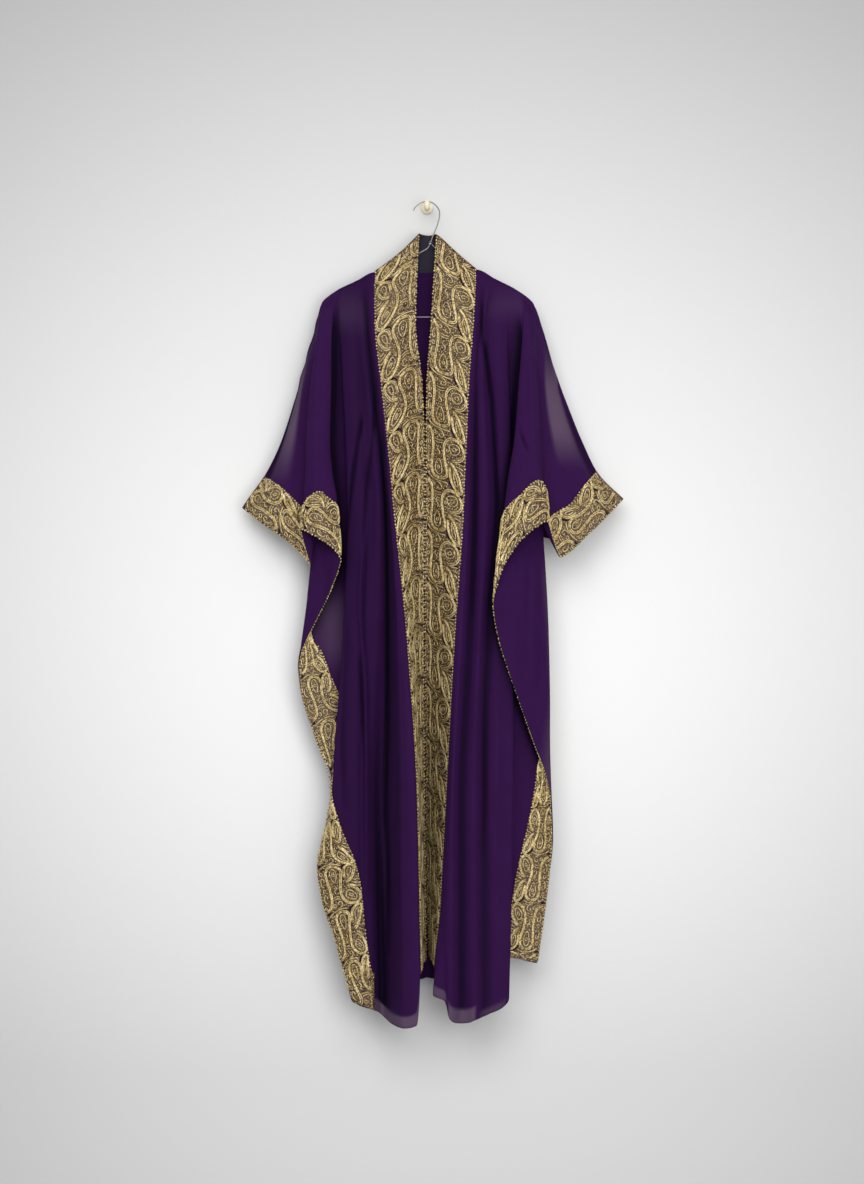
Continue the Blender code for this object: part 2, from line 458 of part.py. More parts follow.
class Cloth:
    """A hung panel. Its folds give x and depth at any position among them and any height."""

    def __init__(self, folds, top_depth, stand_slope, edge_pull):
        self.tops = [(*top, top_depth)[:3] for _, top, _, _ in folds]
        self.stand_slope = stand_slope
        self.edge_pull = edge_pull
        self.lines = []
        for (_, top, across, deep), (top_x, top_height, _) in zip(folds, self.tops):
            below = [i for i, height in enumerate(STATIONS) if height < top_height - 1]
            heights = [top_height] + [STATIONS[i] for i in below]
            depths = [deep[below[0]]] + [deep[i] for i in below]
            xs = [top_x] + [across[i] for i in below]
            falls = [-height for height in heights]
            self.lines.append((falls, xs, depths))
        self.positions = list(range(len(folds)))

    def top(self, position):
        return [monotone(self.positions, [t[i] for t in self.tops], position) for i in range(3)]

    def free(self, position, height):
        """x and depth before the lower edge's own shape is added."""
        first = max(int(position) - 2, 0)
        near = range(first, min(int(position) + 4, len(self.lines)))
        xs = [monotone(self.lines[k][0], self.lines[k][1], -height) for k in near]
        depths = [monotone(self.lines[k][0], self.lines[k][2], -height) for k in near]
        _, top_height, top_depth = self.top(position)
        fall = max(top_height - height, 0.0)
        depth = monotone(list(near), depths, position)
        rise = ease_out((fall - SEAM_STAND) / SHOULDER_RISE)
        depth = top_depth + self.stand_slope * min(fall, SEAM_STAND) + (depth - top_depth) * rise
        near_seam = 1 - ease_both((len(self.lines) - 1 - position) / OVERARM_EASE)
        away = 1 - near_seam * ease_both(fall / SEAM_STAND)
        return monotone(list(near), xs, position), top_depth + (depth - top_depth) * away

    def column(self, position, edge_point, inner, band_height, edge_depth=None):
        """The points of one column: down at the inner position, then leaning to the lower edge."""
        edge_x, edge_height = edge_point
        top_x, top_height, top_depth = self.top(inner)
        free_x, free_depth = self.free(position, edge_height)
        heights = list(np.linspace(top_height, band_height, PANEL_ROWS + 1))
        heights += list(np.linspace(band_height, edge_height, BAND_ROWS + 1))[1:]
        places = [inner] * (PANEL_ROWS + 1) + list(np.linspace(inner, position, BAND_ROWS + 1))[1:]
        points = []
        for height, at in zip(heights, places):
            x, depth = self.free(at, height)
            pull = ease_both(1 - (height - edge_height) / self.edge_pull)
            x += (edge_x - free_x) * pull
            if edge_depth is not None:
                depth += (edge_depth - free_depth) * pull
            points.append((x, depth, height))
        points[0] = (top_x, top_depth, top_height)
        return points


def place(point):
    """A point of the tables, in metres."""
    x, depth, height = point
    return Vector((x, -depth, height)) * CM


def sheet(name, grid, normals, group, finish, wall):
    """A closed shell of one thickness through a grid of points, half of its wall on each side."""
    across, down = len(grid), len(grid[0])
    shape = bmesh.new()
    bmesh.ops.create_grid(shape, x_segments=across - 1, y_segments=down - 1, size=1)
    bmesh.ops.triangulate(shape, faces=shape.faces, quad_method="FIXED")
    under = list(shape.verts)
    extruded = bmesh.ops.extrude_face_region(shape, geom=shape.faces[:])["geom"]
    over = [part for part in extruded if isinstance(part, bmesh.types.BMVert)]
    spots, turns = grid.reshape(-1, 3), normals.reshape(-1, 3)
    for side, vertices in ((-0.5, under), (0.5, over)):
        vertices.sort(key=lambda v: (round(v.co.x, 5), -round(v.co.y, 5)))
        for vertex, spot, turn in zip(vertices, spots, turns):
            vertex.co = spot + turn * side * wall * CM
    bmesh.ops.recalc_face_normals(shape, faces=shape.faces)
    mesh = bpy.data.meshes.new(name)
    shape.to_mesh(mesh)
    shape.free()
    mesh.materials.append(finish)
    for polygon in mesh.polygons:
        polygon.use_smooth = True
    made = bpy.data.objects.new(name, mesh)
    group.objects.link(made)
    return made


def outward(columns, sign):
    """The points of a panel in metres, and the direction out of its right side at each."""
    grid = np.array([[place(p) for p in column] for column in columns])
    along = np.zeros_like(grid)
    for i in range(len(grid)):
        for j in range(len(grid[0])):
            total = np.zeros(3)  # of the directions out of the cells around the point
            for di, dj in ((1, 1), (1, -1), (-1, 1), (-1, -1)):
                if 0 <= i + di < len(grid) and 0 <= j + dj < len(grid[0]):
                    side = (grid[i + di, j] - grid[i, j]) * di
                    drop = (grid[i, j + dj] - grid[i, j]) * dj
                    facing = np.cross(side, drop)
                    total += facing / max(np.linalg.norm(facing), TINY)
            along[i, j] = total / max(np.linalg.norm(total), TINY)
    return grid, along * sign


def lifted(grid, normals, first, last, rows):
    """The panel's own points in these columns and rows, moved out of its right side."""
    patch = (slice(first, last), slice(*rows))
    lift = ((CLOTH_WALL + BAND_WALL) / 2 + BAND_GAP) * CM
    return grid[patch] + normals[patch] * lift, normals[patch]


def trimmed(points, normals):
    """The last column drawn back a little, so that the next piece doesn't meet it."""
    points[-1] += (points[-2] - points[-1]) * END_SHARE
    return points, normals


def leaning(edge, lean):
    """The edge's rows, each with its column's position and height at the side band's inner edge."""
    positions, _, bands = zip(*edge)
    for position, point, _ in edge:
        inner = monotone(*zip(*lean), position)
        yield position, point, inner, monotone(positions, bands, inner)


def front(side, folds, edge, lean, sign, starts, group, finishes):
    """One front panel, its front band, its side band and its cuff band."""
    panel = Cloth(folds, HANGER_DEPTH + SEAM_SPREAD, STAND_SLOPE, FRONT_PULL)
    columns = [panel.column(*row) for row in leaning(edge, lean)]
    positions = [row[0] for row in edge]
    grid, normals = outward(columns, sign)
    sheet(f"front_panel_{side}", grid, normals, group, finishes["chiffon"], CLOTH_WALL)
    all_rows = (0, PANEL_ROWS + BAND_ROWS + 1)
    edge_rows = (PANEL_ROWS, PANEL_ROWS + BAND_ROWS + 1)
    band_end = positions.index(BAND_END) + 1
    side_start, cuff_start = positions.index(starts), positions.index(SLEEVE_START)
    pieces = (
        ("front_band", lifted(grid, normals, 0, band_end, all_rows)),
        ("side_band", trimmed(*lifted(grid, normals, side_start, cuff_start + 1, edge_rows))),
        ("cuff_band", lifted(grid, normals, cuff_start, len(edge), edge_rows)),
    )
    for name, (points, turns) in pieces:
        sheet(f"{name}_{side}", points, turns, group, finishes["gold"], BAND_WALL)
    return columns, positions


def back_half(folds, hem, sleeve, lean, front_panel, corner, back_corner):
    """Half of the back. Its side seam is the front's own edge, moved towards the wall."""
    panel = Cloth(folds, HANGER_DEPTH - SEAM_SPREAD, -STAND_SLOPE, BACK_PULL)
    seam = [(points[-1], at) for points, at in zip(*front_panel) if corner <= at <= SEAM_END]
    rows = []
    for position, point, band in hem:
        share = ease_both((position - HEM_EASE) / (back_corner - HEM_EASE))
        own_depth = panel.free(position, point[1])[1]
        corner_depth = seam[0][0][1] - SEAM_STEP
        rows.append((position, point, band, own_depth + (corner_depth - own_depth) * share))
    for (x, depth, height), position in seam:
        share = (position - corner) / (SEAM_END - corner)
        own = back_corner + share * (BACK_SEAM_END - back_corner)
        seam_depth = depth - SEAM_STEP
        rows.append((own, (x, height), height + BACK_BAND, seam_depth))
    for position, point, band in sleeve:
        share = ease_out((position - BACK_SEAM_END) / SEAM_EASE)
        own_depth = panel.free(position, point[1])[1]
        rows.append((position, point, band, seam_depth + (own_depth - seam_depth) * share))
    return [
        panel.column(position, point, monotone(*zip(*lean), position), band, depth)
        for position, point, band, depth in rows
    ]


def neck_band(left_tops, right_tops, group, finish):
    """The standing band behind the neck, between the crests of the two front bands."""
    behind = HANGER_DEPTH - SEAM_SPREAD
    sags = np.linspace(NECK_SAG, NECK_SAG_LOW, len(left_tops))
    columns = []
    lapping = np.clip((np.linspace(0, 1, len(left_tops)) - 0.7) / 0.3, 0, 1)
    for share in np.linspace(0, 1, NECK_STEPS + 1):
        column = []
        bow = 1 - (2 * share - 1) ** 2
        out = LAP_OUT * np.clip(6 * bow, 0, 1)
        down = LAP_DOWN * np.clip(3 * bow - 0.9, 0, 1)
        for sag, lap, (left_x, _, left_z), (right_x, _, right_z) in zip(sags, lapping, left_tops, right_tops):
            depth = behind - sag * bow - out * lap
            height = left_z + (right_z - left_z) * share - down * lap
            column.append((left_x + (right_x - left_x) * share, depth, height))
        columns.append(column)
    sheet("neck_band", *outward(columns, 1), group, finish, CLOTH_WALL)


def arc(centre, radius, start, end, steps):
    """Points of an arc in the hanger's plane, its angles in degrees from +x."""
    turns = np.radians(np.linspace(start, end, steps))
    return [(centre[0] + radius * math.cos(t), centre[1] + radius * math.sin(t)) for t in turns]


def hanger(group, finish):
    """One wire: hook, neck, shoulders and bar, with its end wound round the neck."""
    apex_x, apex_z = HANGER_APEX
    end_z = apex_z - HANGER_DROP
    slope = HANGER_DROP / (HANGER_HALF + apex_x)
    bend = HANGER_BAR / 2
    left, right = -HANGER_HALF + bend, HANGER_HALF - bend
    tilt = math.degrees(math.atan(slope))
    outline = list(HOOK)
    outline += arc((left, end_z - bend), bend, 90 + tilt, 270, 9)
    outline += [(x, end_z - 2 * bend) for x in np.linspace(left + BAR_STRAIGHT, right - BAR_STRAIGHT, 5)]
    outline += arc((right, end_z - bend), bend, -90, 90 - tilt, 9)
    coil_x, coil_z = COIL
    outline.append((coil_x + COIL_START[0], coil_z + COIL_START[1]))
    route = [(x, HANGER_DEPTH, z) for x, z in outline]
    coil_radius, rise = WIRE + 3 * PIECE_GAP, WIRE + 4 * PIECE_GAP
    for i in range(int(COIL_TURNS * COIL_STEPS) + 1):
        angle = 2 * math.pi * i / COIL_STEPS
        up = rise * i / COIL_STEPS
        reach = coil_radius * math.cos(angle) + up * NECK_LEAN
        route.append((coil_x + reach, HANGER_DEPTH + coil_radius * math.sin(angle), coil_z + up))
    curve = bpy.data.curves.new("hanger", "CURVE")
    curve.dimensions = "3D"
    curve.bevel_depth = WIRE / 2 * CM
    curve.bevel_resolution = 2
    curve.use_fill_caps = True
    line = curve.splines.new("POLY")
    line.points.add(len(route) - 1)
    for point, spot in zip(line.points, route):
        point.co = (*place(spot), 1.0)
    curve.materials.append(finish)
    made = bpy.data.objects.new("hanger", curve)
    group.objects.link(made)
    return made


def peg(group, finish):
    """A turned peg with a round plate on the wall, an oval stem and an oval head."""
    head_x, head_z = PEG_HEAD
    head_middle, head_half = PEG_HEAD_DEPTH
    sections = list(PEG_SECTIONS)
    for turn in np.radians(PEG_HEAD_TURNS):
        share = math.cos(turn)
        sections.append((head_middle + head_half * math.sin(turn), head_x * share, head_z * share))
    shape = bmesh.new()
    rings = []
    for depth, half_x, half_z in sections:
        ring = []
        for angle in np.linspace(0, 2 * math.pi, PEG_SIDES, endpoint=False):
            spot = (half_x * math.cos(angle), depth, half_z * math.sin(angle))
            ring.append(shape.verts.new(place(spot)))
        rings.append(ring)
    for a, b in zip(rings, rings[1:]):
        for k in range(PEG_SIDES):
            after = (k + 1) % PEG_SIDES
            shape.faces.new((a[k], a[after], b[after], b[k]))
    shape.faces.new(rings[0])
    shape.faces.new(rings[-1])
    bmesh.ops.recalc_face_normals(shape, faces=shape.faces)
    mesh = bpy.data.meshes.new("wall_peg")
    shape.to_mesh(mesh)
    shape.free()
    mesh.materials.append(finish)
    made = bpy.data.objects.new("wall_peg", mesh)
    group.objects.link(made)
    return made


def build():
    clear_scene()
    group = collection_of("abaya")
    finishes = {
        "chiffon": material("chiffon", COLOURS["chiffon"], 0.75),
        "gold": material("gold_embroidery", COLOURS["gold"], 0.45, 0.6),
        "lining": material("neck_lining", COLOURS["lining"], 0.7),
        "wire": material("hanger_wire", COLOURS["wire"], 0.3, 1.0),
        "peg": material("peg_plastic", COLOURS["peg"], 0.5),
    }
    sides = {
        "left": front("left", LEFT_FOLDS, LEFT_EDGE, LEFT_LEAN, 1, LEFT_SIDE_BAND, group, finishes),
        "right": front("right", RIGHT_FOLDS, RIGHT_EDGE, RIGHT_LEAN, -1, RIGHT_SIDE_BAND, group,
                       finishes),
    }
    left_half = back_half(LEFT_BACK_FOLDS, LEFT_BACK_HEM, LEFT_BACK_SLEEVE, LEFT_BACK_LEAN,
                          sides["left"], LEFT_CORNER, LEFT_BACK_CORNER)
    right_half = back_half(RIGHT_BACK_FOLDS, RIGHT_BACK_HEM, RIGHT_BACK_SLEEVE, RIGHT_BACK_LEAN,
                           sides["right"], RIGHT_CORNER, RIGHT_BACK_CORNER)
    back = left_half[::-1] + right_half[1:]
    grid, normals = outward(back, 1)
    sheet("back_panel", grid, normals, group, finishes["chiffon"], CLOTH_WALL)
    rows = (PANEL_ROWS, PANEL_ROWS + BAND_ROWS + 1)
    for side, first, last in (
        ("left", 0, len(LEFT_BACK_SLEEVE) + 1),
        ("right", len(back) - len(RIGHT_BACK_SLEEVE) - 1, len(back)),
    ):
        points, turns = lifted(grid, normals, first, last, rows)
        sheet(f"back_cuff_band_{side}", points, turns, group, finishes["gold"], BAND_WALL)
    crests = [
        [points[0] for points, position in zip(*sides[side]) if position <= BAND_END]
        for side in ("left", "right")
    ]
    neck_band(*crests, group, finishes["lining"])
    hanger(group, finishes["wire"])
    peg(group, finishes["peg"])


build()
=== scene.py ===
"""An open abaya of purple chiffon with wide gold paisley bands, hung on a wire hanger from a wall peg.

Tables are in centimetres, as in the part's own source: x from the middle of the peg, height from the
peg, depth from the wall. Left and right are as seen from the front.
"""
import math

import bpy
import numpy as np
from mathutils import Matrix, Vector


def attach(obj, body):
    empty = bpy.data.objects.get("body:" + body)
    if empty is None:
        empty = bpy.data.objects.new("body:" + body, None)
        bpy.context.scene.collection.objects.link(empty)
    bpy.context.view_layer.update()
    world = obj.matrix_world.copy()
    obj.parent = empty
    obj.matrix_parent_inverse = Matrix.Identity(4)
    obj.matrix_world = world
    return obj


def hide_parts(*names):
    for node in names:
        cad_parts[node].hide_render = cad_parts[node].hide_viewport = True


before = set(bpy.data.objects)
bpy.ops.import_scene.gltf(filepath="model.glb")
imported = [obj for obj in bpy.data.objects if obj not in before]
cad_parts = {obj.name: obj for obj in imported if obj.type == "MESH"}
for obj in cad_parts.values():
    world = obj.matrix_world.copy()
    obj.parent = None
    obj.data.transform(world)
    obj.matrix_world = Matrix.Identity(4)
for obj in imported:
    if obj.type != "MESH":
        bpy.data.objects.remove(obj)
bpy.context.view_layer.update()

# Photographer's room
# A smooth pale wall that the peg is screwed to, meeting a pale floor in a wide cove, lit by one
# large soft lamp above and to the left and a weaker one from the right.
WALL_PLANE, WALL_TOP = 0.0015, 4.0
FLOOR_HEIGHT, FLOOR_REACH = -2.25, 9.0
COVE, COVE_STEPS = 0.5, 12
ROOM_HALF = 7.0
ROOM_LIGHT = 0.53
GARMENT_MIDDLE = (0.0, 0.0, -0.9)
# The camera takes in this much above and below its axis, at this distance
HALF_SENSOR, FRAMED_AT, FRAMED_HALF = 18, 6.0, 1.184


def set_up(tree, node, **values):
    """Sets a node's inputs and plain properties by name. Another node's output is linked to the input."""
    for key, value in values.items():
        name = key.replace("_", " ")
        if isinstance(value, bpy.types.NodeSocket):
            tree.links.new(value, node.inputs[name])
        elif name in node.inputs:
            node.inputs[name].default_value = value
        else:
            setattr(node, key, value)
    return node


def add_node(tree, kind, **values):
    return set_up(tree, tree.nodes.new("ShaderNode" + kind), **values)


def plain_material(name, colour, roughness, metallic=0.0, **values):
    made = bpy.data.materials.new(name)
    made.use_nodes = True
    tree = made.node_tree
    shader = tree.nodes["Principled BSDF"]
    set_up(tree, shader, Base_Color=(*colour, 1.0), Roughness=roughness, Metallic=metallic, **values)
    return made, tree, shader


def place_on_piece(tree):
    """Where a point lies, in metres from the peg."""
    return add_node(tree, "TexCoord").outputs["Object"]


def tones(tree, share, low, high, ends=(0.0, 1.0), rise="LINEAR"):
    """Colours that run from low to high while the share runs between the two ends."""
    ramp = add_node(tree, "ValToRGB", Fac=share)
    ramp.color_ramp.interpolation = rise
    for element, end, colour in zip(ramp.color_ramp.elements, ends, (low, high)):
        element.position, element.color = end, (*colour, 1)
    return ramp.outputs["Color"]


def smooth_object(name, points, faces, finish):
    mesh = bpy.data.meshes.new(name)
    mesh.from_pydata(points, [], faces)
    mesh.polygons.foreach_set("use_smooth", [True] * len(mesh.polygons))
    mesh.materials.append(finish)
    mesh.update()
    made = bpy.data.objects.new(name, mesh)
    bpy.context.scene.collection.objects.link(made)
    return made


profile = [(WALL_PLANE, WALL_TOP), (WALL_PLANE, FLOOR_HEIGHT + COVE)]
for turn in range(1, COVE_STEPS):
    angle = math.radians(90 * turn / COVE_STEPS)
    profile.append((WALL_PLANE - COVE * (1 - math.cos(angle)), FLOOR_HEIGHT + COVE * (1 - math.sin(angle))))
profile += [(WALL_PLANE - COVE, FLOOR_HEIGHT), (-FLOOR_REACH, FLOOR_HEIGHT)]
wall_points = [(x, y, z) for x in (-ROOM_HALF, ROOM_HALF) for y, z in profile]
step = len(profile)
wall_faces = [(i, i + 1, step + i + 1, step + i) for i in range(step - 1)]

# Painted light: the wall's colour is palest behind the garment and greyer towards the edges of the picture,
# a patch of light painted on it
plaster, tree, shader = plain_material("pale_wall", (0.97, 0.97, 0.97), 0.95, Specular_IOR_Level=0.1)
centred = add_node(tree, "Mapping", Vector=place_on_piece(tree), Location=(0.0, 0.0, 0.266),
                   Scale=(0.25, 0.0, 0.293))
painted_light_pool = add_node(tree, "TexGradient", gradient_type="SPHERICAL", Vector=centred.outputs["Vector"])
painted_light_falloff = tones(tree, painted_light_pool.outputs["Fac"], (0.19, 0.19, 0.19), (0.98, 0.98, 0.98), (0.46, 0.96), "B_SPLINE")
set_up(tree, shader, Base_Color=painted_light_falloff)
smooth_object("pale_wall_and_floor", wall_points, wall_faces, plaster)

world = bpy.data.worlds.new("pale_room")
bpy.context.scene.world = world
world.use_nodes = True
set_up(world.node_tree, world.node_tree.nodes["Background"], Color=(1.0, 1.0, 1.0, 1.0), Strength=ROOM_LIGHT)
bpy.context.scene.view_settings.view_transform = "Standard"


def soft_lamp(name, place, size, power):
    light = bpy.data.lights.new(name, "AREA")
    light.shape = "RECTANGLE"
    light.size, light.size_y = size
    light.energy = power
    lamp = bpy.data.objects.new(name, light)
    lamp.location = place
    towards = Vector([there - here for here, there in zip(place, GARMENT_MIDDLE)])
    lamp.rotation_euler = towards.to_track_quat("-Z", "Y").to_euler()
    bpy.context.scene.collection.objects.link(lamp)


soft_lamp("big_soft_lamp", (-0.4, -4.2, 1.5), (3.6, 2.8), 131)
soft_lamp("fill_lamp", (1.2, -4.6, -0.9), (2.4, 2.4), 84)

camera_data = bpy.data.cameras.new("photo_camera")
camera_data.sensor_fit = "VERTICAL"
camera_data.sensor_height = 2 * HALF_SENSOR
camera_data.lens = HALF_SENSOR * FRAMED_AT / FRAMED_HALF
camera = bpy.data.objects.new("photo_camera", camera_data)
camera.location = (0.010, -6.08, -0.778)
camera.rotation_euler = (math.pi / 2, 0, 0)
bpy.context.scene.collection.objects.link(camera)
bpy.context.scene.camera = camera

# Wall peg
# A turned knob of cream plastic on a short stem with a round plate. It is screwed flat to the wall
# and carries the hanger's hook.


def speckle(tree, place, scale, detail, **values):
    return add_node(tree, "TexNoise", Vector=place, Scale=scale, Detail=detail, **values).outputs["Fac"]


cream, tree, shader = plain_material("peg_plastic", (0.74, 0.68, 0.52), 0.42, Specular_IOR_Level=0.5)
mottle = speckle(tree, place_on_piece(tree), 180.0, 4.0)
set_up(tree, shader, Base_Color=tones(tree, mottle, (0.62, 0.54, 0.38), (0.80, 0.75, 0.60)))
bpy.data.objects["wall_peg"].material_slots[0].material = cream

# Hanger
# One length of bright galvanised wire, bent to shape, its end wound round the neck below the hook.
# It hangs on the peg and carries the whole garment on its shoulders.
wire_metal, tree, shader = plain_material("hanger_wire", (0.36, 0.36, 0.37), 0.28, 1.0)
spangle = speckle(tree, place_on_piece(tree), 400.0, 3.0)
shine = add_node(tree, "MapRange", Value=spangle, To_Min=0.22, To_Max=0.42)
set_up(tree, shader, Roughness=shine.outputs["Result"])
hanger = bpy.data.objects["hanger"]
hanger.material_slots[0].material = wire_metal

# Front panels
# Two lengths of polyester chiffon, cut with their sleeves in one, that hang from the hanger's
# shoulders in soft pleats. Each turns back at the side and shows its own lower edge.
CM = 0.01
STATIONS = (-24, -36, -48, -54, -60, -86, -120, -164)  # heights that each fold's x and depth are given at

# One row for each fold line of the left front, from the centre edge outwards:
# name, top (x, height), x at each station, depth at each station
LEFT_FOLDS = (
    ("inner_edge", (-1.5, -5.8), (-2.3, -1.0, -0.5, -0.5, -0.5, -0.6, -0.4, 0.1),
     (7.0, 6.1, 5.5, 5.3, 5.2, 5.0, 4.8, 4.8)),
    ("valley_turn", (-2.6, -6.9), (-3.2, -1.9, -1.4, -1.3, -1.3, -1.2, -1.0, -0.5),
     (7.2, 6.3, 5.6, 5.4, 5.3, 5.1, 4.9, 4.9)),
    ("band_middle", (-5.0, -9.2), (-6.3, -5.0, -4.4, -4.3, -4.2, -2.8, -1.7, -1.0),
     (8.6, 8.9, 9.0, 9.1, 9.2, 8.9, 8.6, 8.6)),
    ("band_outer", (-10.4, -13.3), (-10.4, -9.2, -7.9, -7.3, -6.8, -4.2, -2.1, -1.3),
     (9.4, 10.8, 11.4, 11.7, 12.0, 12.8, 14.2, 14.0)),
    ("ridge_a", (-11.8, -14.1), (-11.4, -10.0, -8.6, -8.0, -7.4, -5.6, -4.4, -4.4),
     (9.0, 10.4, 11.2, 11.6, 12.0, 13.2, 14.8, 14.8)),
    ("valley_a", (-13.0, -14.7), (-12.2, -11.0, -9.6, -8.9, -8.2, -8.0, -9.4, -8.8),
     (7.8, 8.6, 8.9, 9.0, 9.2, 9.6, 9.2, 9.0)),
    ("slope", (-14.2, -15.2), (-13.2, -12.0, -10.8, -10.2, -9.7, -10.2, -11.4, -10.6),
     (8.0, 8.8, 9.3, 9.5, 9.8, 10.8, 11.4, 11.6)),
    ("valley_b", (-15.4, -15.8), (-14.4, -13.2, -12.2, -11.7, -11.2, -12.2, -13.0, -12.0),
     (7.6, 8.4, 8.8, 9.0, 9.2, 10.9, 12.0, 12.2)),
    ("ridge_b", (-16.4, -16.3), (-16.0, -15.0, -14.0, -13.6, -13.2, -14.2, -14.8, -13.2),
     (7.4, 8.8, 9.4, 9.7, 10.0, 11.8, 12.8, 12.6)),
    ("body_fold", (-17.6, -16.8), (-17.4, -16.8, -16.2, -16.0, -15.8, -16.7, -18.8, -15.4),
     (7.0, 8.5, 9.0, 9.2, 9.4, 10.4, 11.2, 11.6)),
    ("body_return", (-17.9, -17.0), (-17.8, -16.6, -15.4, -14.7, -14.0, -14.4, -18.0, -20.2),
     (6.6, 7.4, 7.4, 7.4, 7.4, 7.8, 9.6, 10.6)),
    ("side_middle", (-18.2, -17.2), (-18.4, -18.8, -18.8, -18.8, -18.8, -19.6, -20.0, -23.0),
     (6.2, 6.4, 6.2, 6.0, 5.9, 6.0, 7.4, 8.8)),
    ("side_turn", (-18.4, -17.3), (-18.9, -20.6, -21.8, -22.1, -22.3, -24.5, -26.2, -28.0),
     (6.6, 7.5, 7.7, 7.8, 7.8, 7.8, 8.2, 8.8)),
    ("turned_middle", (-18.6, -17.45), (-19.0, -20.0, -20.1, -20.2, -20.3, -21.6, -24.0, -28.0),
     (7.1, 8.8, 9.4, 9.6, 9.8, 9.6, 9.6, 9.6)),
    ("flap_fold", (-18.9, -17.65), (-19.1, -19.1, -19.3, -18.8, -17.9, -18.2, -22.0, -26.0),
     (7.7, 10.2, 11.4, 11.8, 12.2, 12.2, 12.0, 12.0)),
    ("flap_middle", (-19.9, -18.35), (-20.4, -21.0, -21.3, -21.3, -21.2, -21.0, -24.0, -28.0),
     (8.2, 11.2, 12.8, 13.4, 13.8, 14.2, 14.2, 14.2)),
    ("flap_edge", (-21.1, -19.6), (-21.7, -23.1, -24.0, -24.1, -24.2, -28.0, -30.0, -32.0),
     (7.8, 10.4, 11.8, 12.2, 12.6, 13.0, 13.0, 13.0)),
    ("sleeve_valley", (-21.4, -21.0), (-22.0, -22.4, -22.6, -22.6, -22.6, -24.0, -26.0, -28.0),
     (7.2, 9.2, 10.2, 10.6, 10.8, 11.0, 11.0, 11.0)),
    ("cuff_inner", (-22.8, -26.0), (-22.6, -24.4, -25.5, -26.1, -26.7, -29.5, -33.0, -36.0),
     (6.0, 7.8, 8.4, 8.7, 8.9, 8.8, 8.8, 8.8)),
    ("cuff_outer", (-24.5, -31.8), (-23.0, -25.3, -28.0, -29.6, -31.4, -37.5, -42.0, -46.0),
     (5.4, 6.4, 7.4, 7.7, 8.0, 7.8, 7.8, 7.8)),
    ("sleeve_top", (-25.8, -36.6), (-23.2, -25.7, -29.5, -32.3, -36.4, -52.0, -60.0, -66.0),
     (4.6,) * 8),
)

